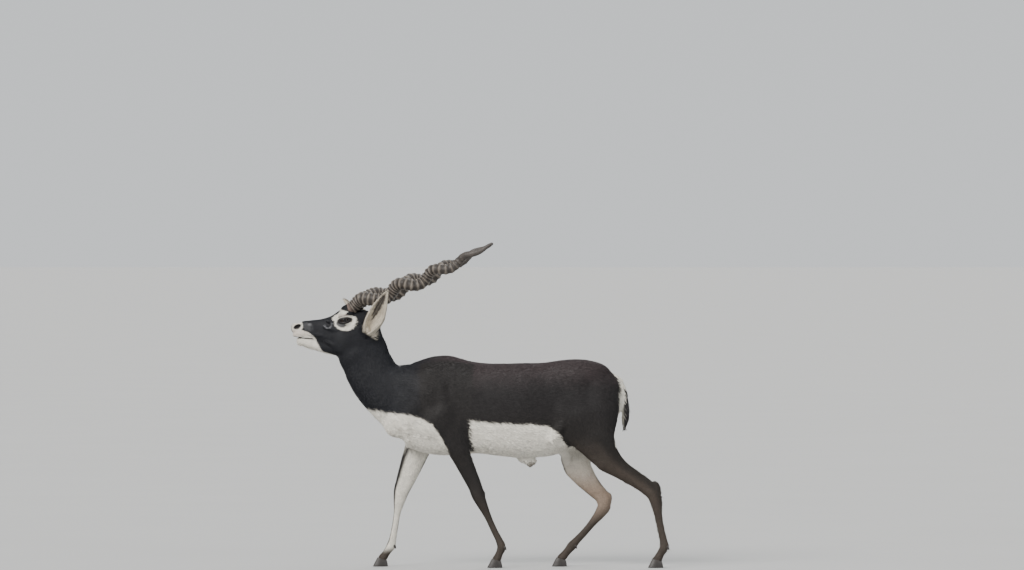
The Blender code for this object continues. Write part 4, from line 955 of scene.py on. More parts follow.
    # Ears: cream inside with darker streaks, brown-black behind with a pale edge.
    for k, ear in enumerate(EARS):
        near_ear = dist[:, len(LIMBS) + k]
        here = ramp(-near_ear, -0.6, 0.15)
        if not here.any():
            continue
        r = p - ear.root
        h = r @ ear.up / ear.length
        leaf, angle, wall = ear.section(h)
        radius = leaf / np.sin(np.minimum(angle, math.pi / 2))
        s = r @ ear.side
        o = r @ ear.open - radius * np.cos(np.minimum(angle, math.pi / 2)) + 0.15 * radius
        theta = np.arctan2(np.abs(s), -o)
        inside = ramp(radius - np.hypot(s, o), -0.05, 0.08)
        share = theta / angle
        signed = share * np.sign(s) * np.sign(ear.side[0])
        fleck = soft(np.hypot((signed - 0.22 - 0.25 * (h - 0.45)) / (0.34 * np.clip(1.15 - h, 0.2, 1)), (h - 0.47) / 0.36) - 1, 0.5)
        streaks = 0.5 + 0.5 * np.sin(share * 21 + 3 * h)
        if ear.root[1] < 0:
            fleck = soft(polygon(x + 0.25 * wobble(p, 1.6, 13), z, EAR_DARK), 0.5)
        cup = CREAM + (fleck * (0.72 + 0.26 * streaks))[:, None] * (BARE * 1.6 - CREAM)
        cup = cup * (1 - 0.18 * streaks * (1 - fleck))[:, None]
        rear = (CREAM * 0.72)[None] + (0.78 * (1 - ramp(share, 0.55, 0.95)) * ramp(h, 0.35, 0.8))[:, None] * (GREY * 0.7 - CREAM * 0.72)
        ear_colour = rear + inside[:, None] * (cup - rear)
        share_of = here * ramp(h, 0.0, 0.12)
        c = c + share_of[:, None] * (ear_colour - c)
    return np.clip(c, 0.002, 0.95)


def turn_front(turn):
    """Angle off the front of a leg: zero is straight ahead."""
    return np.abs(turn) - math.pi


def turn_back(turn, out):
    return np.cos(turn)


# ---- meshes ------------------------------------------------------------------------

left_eye_low, left_eye_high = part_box("eye_left")
SHIFT = (np.array(left_eye_low) + np.array(left_eye_high)) / 2 - np.array(EYE_SHIFT) * CM


def metres(points):
    return np.asarray(points) * CM + SHIFT


def fast_mesh(name, points, corners, sizes, smooth=True):
    """A mesh object from arrays: points in centimetres, corners of all faces in a row, faces' sizes."""
    mesh = bpy.data.meshes.new(name)
    mesh.vertices.add(len(points))
    mesh.vertices.foreach_set("co", metres(points).astype(np.float32).ravel())
    mesh.loops.add(len(corners))
    mesh.loops.foreach_set("vertex_index", np.asarray(corners, np.int32))
    mesh.polygons.add(len(sizes))
    mesh.polygons.foreach_set("loop_start", np.concatenate([[0], np.cumsum(sizes)[:-1]]).astype(np.int32))
    mesh.polygons.foreach_set("loop_total", np.asarray(sizes, np.int32))
    mesh.update(calc_edges=True)
    mesh.validate()
    if smooth:
        mesh.shade_smooth()
    obj = bpy.data.objects.new(name, mesh)
    bpy.context.scene.collection.objects.link(obj)
    return obj


def tinted(obj, colours, name="tint"):
    attribute = obj.data.color_attributes.new(name, "FLOAT_COLOR", "POINT")
    rgba = np.ones((len(colours), 4), np.float32)
    rgba[:, :3] = colours
    attribute.data.foreach_set("color", rgba.ravel())


class Nodes:
    """A short way to wire a material."""

    def __init__(self, name):
        self.mat = bpy.data.materials.new(name)
        self.mat.use_nodes = True
        self.tree = self.mat.node_tree
        self.shader = self.tree.nodes["Principled BSDF"]

    def add(self, kind, **values):
        node = self.tree.nodes.new("ShaderNode" + kind)
        for key, value in values.items():
            if hasattr(node, key):
                setattr(node, key, value)
            else:
                node.inputs[key.replace("_", " ")].default_value = value
        return node

    def link(self, a, b):
        self.tree.links.new(a, b)

    def set(self, **values):
        for key, value in values.items():
            self.shader.inputs[key.replace("_", " ")].default_value = value
        return self

    def noise(self, scale, detail=3.0, rough=0.5, stretch=(1, 1, 1)):
        coords = self.add("TexCoord")
        mapping = self.add("Mapping")
        mapping.inputs["Scale"].default_value = stretch
        noise = self.add("TexNoise")
        noise.inputs["Scale"].default_value = scale
        noise.inputs["Detail"].default_value = detail
        noise.inputs["Roughness"].default_value = rough
        self.link(coords.outputs["Object"], mapping.inputs["Vector"])
        self.link(mapping.outputs["Vector"], noise.inputs["Vector"])
        return noise.outputs["Fac"]

    def spread(self, value, low, high):
        node = self.add("MapRange")
        node.inputs["To Min"].default_value = low
        node.inputs["To Max"].default_value = high
        node.inputs["From Min"].default_value = 0.25
        node.inputs["From Max"].default_value = 0.75
        self.link(value, node.inputs["Value"])
        return node.outputs["Result"]

    def times(self, colour, value):
        node = self.add("VectorMath")
        node.operation = "SCALE"
        self.link(colour, node.inputs[0])
        self.link(value, node.inputs["Scale"])
        return node.outputs["Vector"]

    def bump(self, height, strength, distance):
        node = self.add("Bump")
        node.inputs["Strength"].default_value = strength
        node.inputs["Distance"].default_value = distance
        self.link(height, node.inputs["Height"])
        self.link(node.outputs["Normal"], self.shader.inputs["Normal"])


def coat_material(name, gloss, bump, fine=1400.0):
    m = Nodes(name)
    tint = m.add("Attribute", attribute_name="tint")
    uneven = m.spread(m.noise(60.0, 4.0, 0.6), 0.86, 1.14)
    m.link(m.times(tint.outputs["Color"], uneven), m.shader.inputs["Base Color"])
    m.set(Roughness=gloss, Sheen_Weight=0.06, Sheen_Roughness=0.4)
    m.shader.inputs["Specular IOR Level"].default_value = 0.28
    m.link(m.spread(m.noise(25.0), gloss - 0.07, gloss + 0.08), m.shader.inputs["Roughness"])
    if bump:
        m.bump(m.noise(fine, 2.0, 0.6), bump, 0.0006)
    return m.mat


def smooth_quads(points, quads):
    return np.asarray(quads).ravel(), np.full(len(quads), 4)


where_skin = place(skin_p)
skin_colour = markings(skin_p, where_skin)
body_skin = fast_mesh("body_skin", skin_p, *smooth_quads(skin_p, skin_q))
tinted(body_skin, skin_colour)
body_skin.data.materials.append(coat_material("short_coat_skin", 0.62, 0.5))
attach(body_skin, "root")
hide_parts("head", "neck", "trunk", "tail", "ear_left", "ear_right", "foreleg_left", "foreleg_right", "hindleg_left", "hindleg_right")


# ---- coat ----------------------------------------------------------------------------


def tufts(name, root, normal, lie, length, width, lift, tint, uv, droop=0.35):
    """Thin pointed locks, each a low ridge: root, left, ridge, right and tip."""
    side = np.cross(normal, lie)
    side /= np.maximum(np.linalg.norm(side, axis=1), 1e-9)[:, None]
    L, w, h = length[:, None], width[:, None], lift[:, None]
    base = root - normal * 0.04
    ridge = root + lie * (0.42 * L) + normal * h
    left = ridge + side * (0.5 * w) - normal * (0.30 * w + 0.35 * h)
    right = ridge - side * (0.5 * w) - normal * (0.30 * w + 0.35 * h)
    tip = root + lie * L + normal * (h * (1 - droop) + 0.02)
    n = len(root)
    points = np.stack([base, left, ridge, right, tip], 1).reshape(-1, 3)
    one = np.array([0, 2, 1, 0, 3, 2, 1, 2, 4, 2, 3, 4])
    corners = (one[None] + 5 * np.arange(n)[:, None]).ravel()
    obj = fast_mesh(name, points, corners, np.full(4 * n, 3))
    # Painted shade and highlight on every lock: darkest at the root tucked under the others, darker at the pressed-down
    # edges, lighter along the raised ridge and tip.
    shade = np.repeat(tint[:, None], 5, 1) * np.array([0.72, 0.97, 1.03, 0.97, 1.06])[None, :, None]
    tinted(obj, np.clip(shade.reshape(-1, 3), 0.001, 0.95))
    layer = obj.data.uv_layers.new(name="OFBake")
    patch = np.array([(0.0, -0.5), (0.5, 0.0), (0.0, 0.0), (-0.5, 0.0), (0.0, 0.5)]) * 0.003
    every = (uv[:, None] + patch[None]).reshape(-1, 2)
    layer.data.foreach_set("uv", every[corners].astype(np.float32).ravel())
    obj.data.materials.append(COAT)
    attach(obj, "root")
    return obj


COAT = coat_material("short_coat", 0.55, 0)
rng = np.random.default_rng(11)

# Roots spread over the skin, in proportion to its area and to how fine the coat is there.
tri = np.concatenate([skin_q[:, [0, 1, 2]], skin_q[:, [0, 2, 3]]])
corner = skin_p[tri]
area = 0.5 * np.linalg.norm(np.cross(corner[:, 1] - corner[:, 0], corner[:, 2] - corner[:, 0]), axis=1)
mid = corner.mean(1)


def coat_size(p, which, out):
    """Length and width of the locks in centimetres, point by point."""
    x, y, z = p.T
    length = np.full(len(p), 1.7)
    leg = 1 - ramp(z, 30, 46)
    length = length + leg * (0.75 - length)
    face = ramp(-x, 41.0, 48.0) * ramp(z, 72, 77)
    length = length + face * (0.62 - length)
    muzzle = ramp(-x, 56, 62) * (z > 74)
    length = length * (1 - 0.35 * muzzle)
    eye = soft(np.hypot(x + 48.2, z - 88.0) - 3.4, 2.0) * (np.abs(y) > 2)
    length = length * (1 - 0.35 * eye)
    length = length - 0.2 * (1 - ramp(z, 20, 32))
    groin = ramp(x, 20, 25) * (1 - ramp(z, 40, 47))
    length = length + groin * (np.minimum(length, 0.7) - length)
    ears = which >= len(LIMBS)
    length = np.where(ears, 0.75, length)
    tail = which == NAMES.index("tail")
    length = np.where(tail & (x > 47), 2.4, length)
    width = 0.15 * length**0.75
    return length, width


which_t = where_skin[0][tri[:, 0]]
length_t, width_t = coat_size(mid, which_t, None)
bare = (near(LID_HOLES, mid) < 0.12) | (near(NOSTRIL_HOLES, mid) < 0.12) | (mouth_groove(mid, 0.12) < 0.03) | (mid[:, 2] < 2.9)
bare |= (near(LID_SHAPE, mid) < 0.3) & (np.abs(mid[:, 2] - 88.05) < 1.35) & (np.abs(mid[:, 0] + 48.3) < 2.7)
bare |= (np.hypot(mid[:, 0] - 28.7, mid[:, 2] - 38.8) < 3.6) & (mid[:, 1] > 1.0)  # front edge of the far thigh: flat fur
COVER = 1.15
chance = np.where(bare, 0, area * COVER / (length_t * width_t * 0.5))
number = rng.poisson(chance)
pick = np.repeat(np.arange(len(tri)), number)
a, b = rng.random((2, len(pick)))
flip = a + b > 1
a[flip], b[flip] = 1 - a[flip], 1 - b[flip]
bary = np.stack([1 - a - b, a, b], 1)
root = (skin_p[tri[pick]] * bary[..., None]).sum(1)
normal = (skin_n[tri[pick]] * bary[..., None]).sum(1)
normal /= np.linalg.norm(normal, axis=1)[:, None]
spot = place(root)
print("locks", len(root))


def lie_on(normal, lie, spread_by):
    """The lie turned a little at random and laid along the skin."""
    lie = lie - (lie * normal).sum(1)[:, None] * normal
    lie /= np.maximum(np.linalg.norm(lie, axis=1), 1e-6)[:, None]
    across = np.cross(normal, lie)
    angle = rng.normal(0, spread_by, len(lie))
    return lie * np.cos(angle)[:, None] + across * np.sin(angle)[:, None]


length, width = coat_size(root, spot[0], spot[4])
length = length * rng.uniform(0.75, 1.25, len(root))
width = width * rng.uniform(0.8, 1.2, len(root))
lie = lie_on(normal, spot[1], 0.16)
depth = coat_depth(root)
lift = depth * rng.uniform(0.35, 0.8, len(root))
lift = np.where(spot[0] >= len(LIMBS), 0.05, lift)
colour = markings(root, spot, 0.7) * np.clip(rng.normal(1.0, 0.14, (len(root), 1)), 0.6, 1.5)


def more_locks(hit, number, long, wide, up, way, spread_by, tone=None):
    """Longer locks rooted on chosen faces of the skin, standing out a little more."""
    weight = area * hit
    if weight.sum() <= 0:
        return
    pick = rng.choice(len(tri), number, p=weight / weight.sum())
    a, b = rng.random((2, number))
    flip = a + b > 1
    a[flip], b[flip] = 1 - a[flip], 1 - b[flip]
    bary = np.stack([1 - a - b, a, b], 1)
    at = (skin_p[tri[pick]] * bary[..., None]).sum(1)
    out = (skin_n[tri[pick]] * bary[..., None]).sum(1)
    out /= np.linalg.norm(out, axis=1)[:, None]
    here = place(at)
    flow = np.array(way, float)[None] if way is not None else here[1]
    flow = lie_on(out, np.broadcast_to(flow, out.shape).copy(), spread_by)
    flow = flow + out * up
    flow /= np.linalg.norm(flow, axis=1)[:, None]
    tint = markings(at, here, 0.6) if tone is None else np.tile(np.array(tone), (number, 1))
    EXTRA.append((at, out, flow, long * rng.uniform(0.6, 1.2, number), wide * rng.uniform(0.8, 1.2, number), tint * rng.uniform(0.8, 1.2, (number, 1)), here))


EXTRA = []
x_t, y_t, z_t = mid.T
more_locks((z_t < 38.6) & (x_t > 15.5) & (x_t < 20) & (np.abs(y_t) < 1.8), 200, 0.9, 0.14, 0.1, (0.15, 0, -1), 0.2, (0.10, 0.085, 0.07))
more_locks((x_t > 50.2) & (z_t < 58), 700, 2.2, 0.16, 0.14, None, 0.2)
more_locks((x_t < -60) & (z_t < 79.8), 300, 0.8, 0.07, 0.3, None, 0.3)
more_locks((z_t > 41) & (z_t < 50) & (np.abs(y_t) < 3.0) & (x_t > -34) & (x_t < -24), 500, 1.6, 0.15, 0.18, None, 0.3)
for k, ear in enumerate(EARS):
    r_t = mid - ear.root
    h_t = r_t @ ear.up / ear.length
    leaf_t, angle_t, wall_t = ear.section(h_t)
    radius_t = leaf_t / np.sin(np.minimum(angle_t, math.pi / 2))
    s_t = r_t @ ear.side
    o_t = r_t @ ear.open - radius_t * np.cos(np.minimum(angle_t, math.pi / 2)) + 0.15 * radius_t
    cup_t = (which_t == len(LIMBS) + k) & (np.hypot(s_t, o_t) < radius_t) & (h_t > 0.08) & (h_t < 0.9)
    more_locks(cup_t, 900, 1.3, 0.07, 0.10, ear.up + 0.25 * ear.open, 0.35)


def unwrap(spot, name):
    """A place for each root on the limb's own unrolled surface."""
    along, turn = spot[2], spot[3]
    k = NAMES.index(name) if name in NAMES else None
    hit = spot[0] == k
    s = along[hit]
    u = (s - s.min()) / max(np.ptp(s), 1e-6)
    v = (turn[hit] + math.pi) / (2 * math.pi)
    return hit, np.stack([0.01 + 0.98 * u, 0.01 + 0.98 * v], 1)


coat_triangles = 0
for name in NAMES:
    hit, uv = unwrap(spot, name)
    index = np.flatnonzero(hit)
    most = 48000
    for part in range(0, len(index), most):
        some = index[part : part + most]
        label = f"coat_{name}" + (f"_{part // most + 1}" if len(index) > most else "")
        tufts(label, root[some], normal[some], lie[some], length[some], width[some], lift[some], colour[some], uv[part : part + most])
        coat_triangles += 4 * len(some)
for number, (at, out, flow, long, wide, tint_of, here) in enumerate(EXTRA):
    turn = (here[3] + math.pi) / (2 * math.pi)
    step_on = (here[2] - here[2].min()) / max(np.ptp(here[2]), 1e-6)
    tufts(f"long_locks_{number + 1}", at, out, flow, long, wide, np.full(len(at), 0.05), tint_of, np.stack([0.01 + 0.98 * step_on, 0.01 + 0.98 * turn], 1), 0.0)
    coat_triangles += 4 * len(at)
print("coat triangles", coat_triangles)


# ---- horns -----------------------------------------------------------------------------


def horn_rings(t, long):
    """Height of the rings along a horn, as a share of its half thickness."""
    s = t * long
    count = 36.0 * (1 - (1 - np.clip(t / 0.93, 0, 1)) ** 1.22)
    phase = count % 1.0
    ridge = np.exp(-(((phase - 0.5) / 0.24) ** 2))
    fade = 1 - ramp(t, 0.66, 0.90)
    return ridge * fade * ramp(t, 0.0, 0.02), fade


def horn(side, label):
    n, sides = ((900, 36))
    t = np.linspace(0, 1, n)
    middle, thick = horn_line(side, t)
    step = np.linalg.norm(np.diff(middle, axis=0), axis=1)
    long = step.sum()
    way = np.gradient(middle, axis=0)
    way /= np.linalg.norm(way, axis=1)[:, None]
    ridge, fade = horn_rings(t, long)
    across = np.cross(way[0], (0, 1, 0))
    points, shades = [], []
    ring_rng = np.random.default_rng(3 + side)
    for i in range(n):
        across = across - across @ way[i] * way[i]
        across /= np.linalg.norm(across)
        other = np.cross(way[i], across)
        a = 2 * math.pi * np.arange(sides) / sides
        keel = 0.05 * np.cos(a - 0.6) + 0.03 * np.cos(2 * a)
        lean = ridge[i] * (0.85 + 0.3 * np.cos(a + 1.0))
        grain = 0.012 * np.sin(9 * a + t[i] * 40) + 0.008 * np.sin(17 * a - t[i] * 25)
        r = thick[i] * (0.88 + 0.165 * lean + keel * 0.6 + grain * (1 - 0.5 * ridge[i]))
        points.append(middle[i] + r[:, None] * (np.cos(a)[:, None] * across + np.sin(a)[:, None] * other))
        tip = ramp(np.array(t[i]), 0.55, 1.0)
        groove = np.array((0.022, 0.016, 0.012))
        crest = np.array((0.150, 0.126, 0.103))
        dark = np.array((0.050, 0.042, 0.038))
        mix = np.clip(ridge[i] ** 1.3 * 1.1 - 0.12 + 0.18 * np.sin(5 * a + 30 * t[i]) * fade[i], 0, 1)[:, None]
        shade = groove + mix * (crest - groove)
        plain = np.array((0.060, 0.048, 0.039)) + 0.0 * mix
        shade = shade * fade[i] + plain * (1 - fade[i])
        shade = shade + tip * (dark - shade) * 0.8
        root_part = 1 - ramp(np.array(t[i]), 0.0, 0.035)
        shade = shade + root_part * (np.array((0.13, 0.085, 0.068)) - shade)
        shades.append(shade)
    points = np.concatenate(points)
    shades = np.concatenate(shades)
    i, k = np.meshgrid(np.arange(n - 1), np.arange(sides), indexing="ij")
    a0 = (i * sides + k).ravel()
    b0 = (i * sides + (k + 1) % sides).ravel()
    quads = np.stack([a0, b0, b0 + sides, a0 + sides], 1)
    points = np.concatenate([points, middle[:1], middle[-1:] + way[-1] * thick[-1] * 0.8])
    shades = np.concatenate([shades, shades[:1], shades[-1:]])
    m = len(points)
    around = np.arange(sides)
    low = np.stack([np.full(sides, m - 2), (around + 1) % sides, around], 1)
    high = np.stack([np.full(sides, m - 1), (n - 1) * sides + around, (n - 1) * sides + (around + 1) % sides], 1)
    corners = np.concatenate([quads.ravel(), low.ravel(), high.ravel()])
    sizes = np.concatenate([np.full(len(quads), 4), np.full(2 * sides, 3)])
    obj = fast_mesh("horn_" + label + "_ringed", points, corners, sizes)
    tinted(obj, shades)
    return obj


horn_look = Nodes("ringed_horn")
tint = horn_look.add("Attribute", attribute_name="tint")
uneven = horn_look.spread(horn_look.noise(45.0, 6.0, 0.7), 0.55, 1.5)
horn_look.link(horn_look.times(tint.outputs["Color"], uneven), horn_look.shader.inputs["Base Color"])
horn_look.set(Roughness=0.5)
horn_look.link(horn_look.spread(horn_look.noise(160.0), 0.42, 0.66), horn_look.shader.inputs["Roughness"])
horn_look.bump(horn_look.noise(700.0, 4.0, 0.65), 0.5, 0.0008)
for side, label in ((-1, "left"), (1, "right")):
    piece = horn(side, label)
    piece.data.materials.append(horn_look.mat)
    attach(piece, "root")
    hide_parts("horn_" + label)


# ---- eyes ------------------------------------------------------------------------------


def eye(side, label):
    """A ball with a slight cornea, its pole to the side."""
    rings, sides = 40, 64
    a = np.linspace(0, math.pi, rings + 1)[1:-1]
    b = 2 * math.pi * np.arange(sides) / sides
    A, B = np.meshgrid(a, b, indexing="ij")
    bulge = 0.05 * np.exp(-((A / 0.62) ** 4))
    r = EYE_RADIUS + bulge
    pts = np.stack([r * np.sin(A) * np.cos(B), side * r * np.cos(A), r * np.sin(A) * np.sin(B)], -1).reshape(-1, 3)
    pts = np.concatenate([pts, [(0, side * (EYE_RADIUS + 0.05), 0)], [(0, -side * EYE_RADIUS, 0)]])
    iris = np.concatenate([np.repeat(a, sides), [0.0, math.pi]])
    across = pts[:, 0]
    up = pts[:, 2]
    pupil = soft(np.hypot(across / 0.72, up / 0.40) - 1, 0.3)
    brown = np.array((0.014, 0.007, 0.004))
    edge = ramp(iris, 0.55, 0.85)
    colour = brown + edge[:, None] * (np.array((0.006, 0.004, 0.003)) - brown)
    colour = colour + pupil[:, None] * (np.array((0.003, 0.003, 0.004)) - colour)
    n = rings - 1
    i, k = np.meshgrid(np.arange(n - 1), np.arange(sides), indexing="ij")
    a0, b0 = (i * sides + k).ravel(), (i * sides + (k + 1) % sides).ravel()
    quads = np.stack([a0, b0, b0 + sides, a0 + sides], 1)
    around = np.arange(sides)
    top = np.stack([np.full(sides, n * sides), (around + 1) % sides, around], 1)
    end = np.stack([np.full(sides, n * sides + 1), (n - 1) * sides + around, (n - 1) * sides + (around + 1) % sides], 1)
    if side < 0:
        pass
    else:
        quads, top, end = quads[:, ::-1], top[:, ::-1], end[:, ::-1]
    obj = fast_mesh(
        "eyeball_" + label,
        pts + np.array(EYE_AT) * (1, side, 1),
        np.concatenate([quads.ravel(), top.ravel(), end.ravel()]),
        np.concatenate([np.full(len(quads), 4), np.full(2 * sides, 3)]),
    )
    tinted(obj, colour)
    return obj


eye_look = Nodes("wet_eye")
tint = eye_look.add("Attribute", attribute_name="tint")
eye_look.link(eye_look.times(tint.outputs["Color"], eye_look.spread(eye_look.noise(500.0, 3.0), 0.8, 1.2)), eye_look.shader.inputs["Base Color"])
eye_look.set(Roughness=0.16, Coat_Weight=0.12, Coat_Roughness=0.03)
eye_look.shader.inputs["Specular IOR Level"].default_value = 0.22

lid_look = Nodes("lid_margin")
lid_look.set(Roughness=0.35)
lid_tint = lid_look.add("RGB")
lid_tint.outputs[0].default_value = (0.010, 0.008, 0.009, 1)
lid_look.link(lid_look.times(lid_tint.outputs[0], lid_look.spread(lid_look.noise(300.0, 3.0), 0.7, 1.4)), lid_look.shader.inputs["Base Color"])
lid_look.bump(lid_look.noise(1500.0, 2.0), 0.4, 0.0004)


def lid_rim(side, label):
    """The lids' wet edge: an almond tube lying on the eyeball."""
    n, sides = 96, 10
    a = 2 * math.pi * np.arange(n) / n
    pitch = math.radians(10)
    dx = 1.58 * np.cos(a)
    dz = 0.80 * np.sign(np.sin(a)) * np.abs(np.sin(a)) ** 0.85 * np.where(np.sin(a) > 0, 1.05, 0.92)
    x = dx * math.cos(pitch) - dz * math.sin(pitch) - 0.1
    z = dx * math.sin(pitch) + dz * math.cos(pitch)
    dy = np.sqrt(np.maximum((EYE_RADIUS + 0.10) ** 2 - x**2 - z**2, 0.02))
    middle = np.stack([x, dy * side, z], 1) + np.array(EYE_AT) * (1, side, 1)
    out = middle - np.array(EYE_AT) * (1, side, 1)
    out /= np.linalg.norm(out, axis=1)[:, None]
    way = np.roll(middle, -1, 0) - np.roll(middle, 1, 0)
    way /= np.linalg.norm(way, axis=1)[:, None]
    across = np.cross(way, out)
    points = []
    thick = 0.13 + 0.05 * np.abs(np.sin(a)) + 0.05 * (np.sin(a) > 0) * np.abs(np.sin(a))
    for m, o, w, c, r in zip(middle, out, way, across, thick):
        b = 2 * math.pi * np.arange(sides) / sides
        points.append(m + r * (np.cos(b)[:, None] * o + 1.25 * np.sin(b)[:, None] * c))
    i, k = np.meshgrid(np.arange(n), np.arange(sides), indexing="ij")
    a0, b0 = (i * sides + k).ravel(), (i * sides + (k + 1) % sides).ravel()
    c0, d0 = (((i + 1) % n) * sides + (k + 1) % sides).ravel(), (((i + 1) % n) * sides + k).ravel()
    quads = np.stack([a0, b0, c0, d0], 1)
    obj = fast_mesh("lid_edge_" + label, np.concatenate(points), quads.ravel(), np.full(len(quads), 4))
    bm = bmesh.new()
    bm.from_mesh(obj.data)
    bmesh.ops.recalc_face_normals(bm, faces=bm.faces)
    bm.to_mesh(obj.data)
    bm.free()
    return obj


for side, label in ((-1, "left"), (1, "right")):
    ball = eye(side, label)
    ball.data.materials.append(eye_look.mat)
    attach(ball, "root")
    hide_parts("eye_" + label)
    edge = lid_rim(side, label)
    edge.data.materials.append(lid_look.mat)
    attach(edge, "root")


# ---- hooves ----------------------------------------------------------------------------


def hoof(name, toe_x, y, inner):
    """One hoof claw with a rounded sole edge, growth rings and a soft top."""
    sides, levels = 40, 22
    points, shades = [], []
    for level in range(levels + 1):
        rise = max(0.0, (level - 2) / (levels - 2))
        bottom = 1 - min(level, 2) / 2
        j = np.arange(sides)
        outer = j < sides / 2
        s = np.where(outer, j, sides - 1 - j) / (sides / 2 - 1)
        s = 0.5 - 0.5 * np.cos(np.pi * s)
        width = HOOF_HALF_WIDTH * np.sin(math.pi * (0.035 + 0.865 * s) ** 0.8).clip(0.02) ** 0.72
        top = HOOF_TOE_HEIGHT + (HOOF_HEEL_HEIGHT - HOOF_TOE_HEIGHT) * s + 0.05
        z = 0.10 * (1 - bottom) if level <= 2 else 0.10 + rise * (top - 0.10)
        z = z * np.ones(sides)
        lean = z / top
        ringed = 0.012 * np.sin(2 * math.pi * lean * 7) * (rise > 0)
        length = HOOF_LENGTH * (1 - 0.30 * lean - 0.09 * lean**1.5)
        x = toe_x + 0.10 * bottom + 1.65 * lean + s * length * (1 - 0.03 * bottom) - ringed
        flat = np.where(outer == inner, 0.72, 1.0)
        sign = np.where(outer, -1, 1)
        shrink = (1 - 0.10 * bottom) * (1 - 0.26 * lean) + ringed
        points.append(np.stack([x, y + sign * shrink * width * flat, z], 1))
        tone = 0.75 + 0.5 * rise + 0.25 * math.sin(rise * 40)
        shades.append(np.tile(np.array((0.024, 0.020, 0.018)) * tone, (sides, 1)))
    points = np.concatenate(points)
    shades = np.concatenate(shades)
    i, k = np.meshgrid(np.arange(levels), np.arange(sides), indexing="ij")
    a0, b0 = (i * sides + k).ravel(), (i * sides + (k + 1) % sides).ravel()
    quads = np.stack([a0, b0, b0 + sides, a0 + sides], 1)
    m = len(points)
    points = np.concatenate([points, points[:sides].mean(0, keepdims=True), points[-sides:].mean(0, keepdims=True)])
    shades = np.concatenate([shades, shades[:1], shades[-1:]])
    around = np.arange(sides)
    low = np.stack([np.full(sides, m), (around + 1) % sides, around], 1)
    high = np.stack([np.full(sides, m + 1), levels * sides + around, levels * sides + (around + 1) % sides], 1)
    obj = fast_mesh(name, points, np.concatenate([quads.ravel(), low.ravel(), high.ravel()]), np.concatenate([np.full(len(quads), 4), np.full(2 * sides, 3)]))
    bm = bmesh.new()
    bm.from_mesh(obj.data)
    bmesh.ops.recalc_face_normals(bm, faces=bm.faces)
    bm.to_mesh(obj.data)
    bm.free()
    obj.data.shade_smooth()
    tinted(obj, shades)
    return obj


def dewclaw(name, at):
    """A small rounded horny knob behind the fetlock, tip down and back."""
    rings, sides = 12, 18
    a = np.linspace(0, math.pi, rings + 1)[1:-1]
    b = 2 * math.pi * np.arange(sides) / sides
    A, B = np.meshgrid(a, b, indexing="ij")
    z = np.cos(A)
    grow = 0.70 + 0.30 * z
    pts = np.stack([0.62 * grow * np.sin(A) * np.cos(B), 0.56 * grow * np.sin(A) * np.sin(B), 0.88 * z], -1).reshape(-1, 3)
    pts = np.concatenate([pts, [(0, 0, 0.88)], [(0, 0, -0.88)]])
    turn = math.radians(-28)
    x = pts[:, 0] * math.cos(turn) + pts[:, 2] * math.sin(turn)
    z = -pts[:, 0] * math.sin(turn) + pts[:, 2] * math.cos(turn)
    pts = np.stack([x, pts[:, 1], z], 1) + np.array(at)
    n = rings - 1
    i, k = np.meshgrid(np.arange(n - 1), np.arange(sides), indexing="ij")
    a0, b0 = (i * sides + k).ravel(), (i * sides + (k + 1) % sides).ravel()
    quads = np.stack([a0, a0 + sides, b0 + sides, b0], 1)
    around = np.arange(sides)
    top = np.stack([np.full(sides, n * sides), around, (around + 1) % sides], 1)
    end = np.stack([np.full(sides, n * sides + 1), (n - 1) * sides + (around + 1) % sides, (n - 1) * sides + around], 1)
    return fast_mesh(name, pts, np.concatenate([quads.ravel(), top.ravel(), end.ravel()]), np.concatenate([np.full(len(quads), 4), np.full(2 * sides, 3)]))


hoof_look = Nodes("hoof_horn")
tint = hoof_look.add("Attribute", attribute_name="tint")
hoof_look.link(hoof_look.times(tint.outputs["Color"], hoof_look.spread(hoof_look.noise(220.0, 4.0, stretch=(1, 1, 0.3)), 0.7, 1.4)), hoof_look.shader.inputs["Base Color"])
hoof_look.set(Roughness=0.42)
hoof_look.link(hoof_look.spread(hoof_look.noise(120.0), 0.34, 0.6), hoof_look.shader.inputs["Roughness"])
hoof_look.bump(hoof_look.noise(900.0, 3.0, stretch=(1, 1, 0.25)), 0.35, 0.0005)
claw_look = Nodes("dewclaw_horn")
stone = claw_look.add("RGB")
stone.outputs[0].default_value = (0.030, 0.025, 0.022, 1)
claw_look.link(claw_look.times(stone.outputs[0], claw_look.spread(claw_look.noise(300.0, 4.0), 0.6, 1.5)), claw_look.shader.inputs["Base Color"])
claw_look.set(Roughness=0.45)
claw_look.bump(claw_look.noise(900.0, 3.0), 0.35, 0.0005)

for leg, (toe, foot_y) in FEET.items():
    side = -1 if foot_y < 0 else 1
    for inner, label in ((True, "inner"), (False, "outer")):
        offset = -side * HOOF_SPREAD if inner else side * HOOF_SPREAD
        piece = hoof(f"claw_{leg}_{label}", toe, foot_y + offset, offset > 0)
        piece.data.materials.append(hoof_look.mat)
        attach(piece, "root")
        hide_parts(f"hoof_{leg}_{label}")
        fx, fz = FETLOCKS[leg]
        lean = -side * 0.85 if inner else side * 0.85
        knob = dewclaw(f"false_claw_{leg}_{label}", (fx + 1.28, foot_y + lean, fz - 0.45))
        knob.data.materials.append(claw_look.mat)
        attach(knob, "root")
        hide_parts(f"dewclaw_{leg}_{label}")


# ---- floor, light and camera --------------------------------------------------------------

bpy.ops.mesh.primitive_circle_add(vertices=96, radius=300.0, fill_type="NGON", location=(0, 0, -0.0006))
floor = bpy.context.object
floor.name = "floor"
floor_look = Nodes("studio_floor")
pale = floor_look.add("RGB")
pale.outputs[0].default_value = (0.45, 0.45, 0.445, 1)
floor_look.link(floor_look.times(pale.outputs[0], floor_look.spread(floor_look.noise(1.2, 2.0), 0.985, 1.015)), floor_look.shader.inputs["Base Color"])
floor_look.set(Roughness=0.9)
floor.data.materials.append(floor_look.mat)

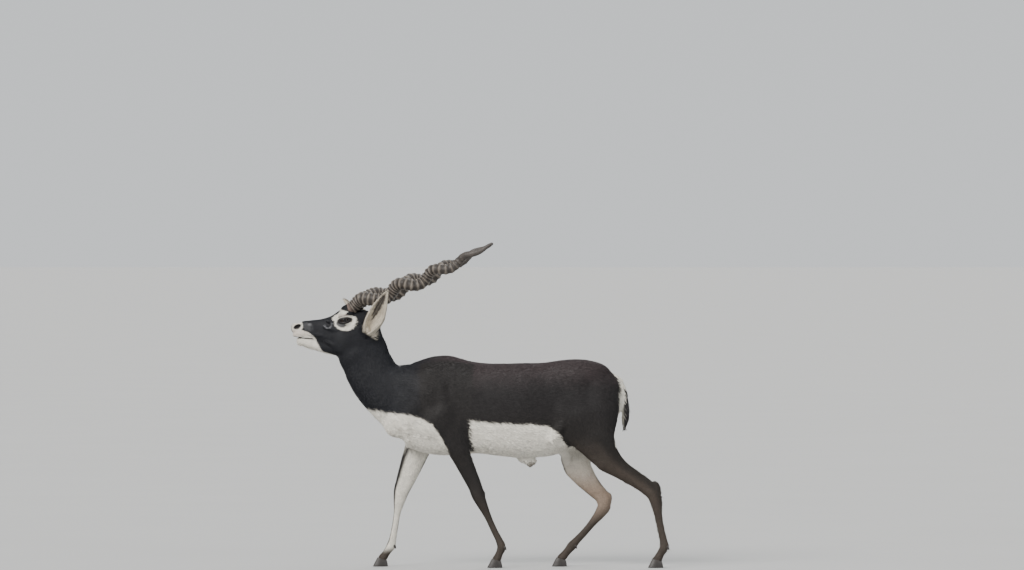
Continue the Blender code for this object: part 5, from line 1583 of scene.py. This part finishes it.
world = bpy.data.worlds.new("studio")
bpy.context.scene.world = world
world.use_nodes = True
background = world.node_tree.nodes["Background"]
background.inputs["Color"].default_value = (0.86, 0.89, 0.91, 1)
where_to = world.node_tree.nodes.new("ShaderNodeTexCoord")
parts = world.node_tree.nodes.new("ShaderNodeSeparateXYZ")
rise = world.node_tree.nodes.new("ShaderNodeMapRange")
rise.interpolation_type = "SMOOTHSTEP"
rise.inputs["From Min"].default_value = 0.0
rise.inputs["From Max"].default_value = 0.35
rise.inputs["To Min"].default_value = 0.93
rise.inputs["To Max"].default_value = 0.55
world.node_tree.links.new(where_to.outputs["Generated"], parts.inputs[0])
world.node_tree.links.new(parts.outputs["Z"], rise.inputs["Value"])
world.node_tree.links.new(rise.outputs["Result"], background.inputs["Strength"])


def lamp(name, at, to, spread_deg, strength, colour):
    data = bpy.data.lights.new(name, "SUN")
    data.angle, data.energy, data.color = math.radians(spread_deg), strength, colour
    obj = bpy.data.objects.new(name, data)
    bpy.context.scene.collection.objects.link(obj)
    obj.location = at
    obj.rotation_euler = (Vector(to) - Vector(at)).to_track_quat("-Z", "Y").to_euler()


lamp("key", (-2.2, -3.2, 3.4), (0, 0, 0.7), 32, 3.8, (1.0, 0.98, 0.95))
lamp("top", (0.4, 0.6, 4.2), (0, 0, 0.6), 55, 1.2, (0.97, 0.99, 1.0))
lamp("fill", (3.2, -2.6, 1.6), (0.1, 0, 0.6), 45, 0.8, (0.95, 0.98, 1.0))
lamp("rear", (1.2, 3.4, 2.6), (0, 0, 0.7), 40, 1.0, (1.0, 0.98, 0.94))

DISTANCE = 25.0
VIEW_WIDTH = 1024 / 280
LOOK_AT = Vector(metres(np.array((11.43, 0.0, 100.7))))
RISE = math.radians(0.35)
camera_data = bpy.data.cameras.new("camera")
camera = bpy.data.objects.new("camera", camera_data)
bpy.context.scene.collection.objects.link(camera)
camera_data.sensor_width = 36.0
camera_data.lens = 36.0 * DISTANCE / VIEW_WIDTH
camera_data.clip_end = 1500.0
camera.location = LOOK_AT + Vector((0, -DISTANCE * math.cos(RISE), DISTANCE * math.sin(RISE)))
camera.rotation_euler = (LOOK_AT - camera.location).to_track_quat("-Z", "Y").to_euler()
bpy.context.scene.camera = camera
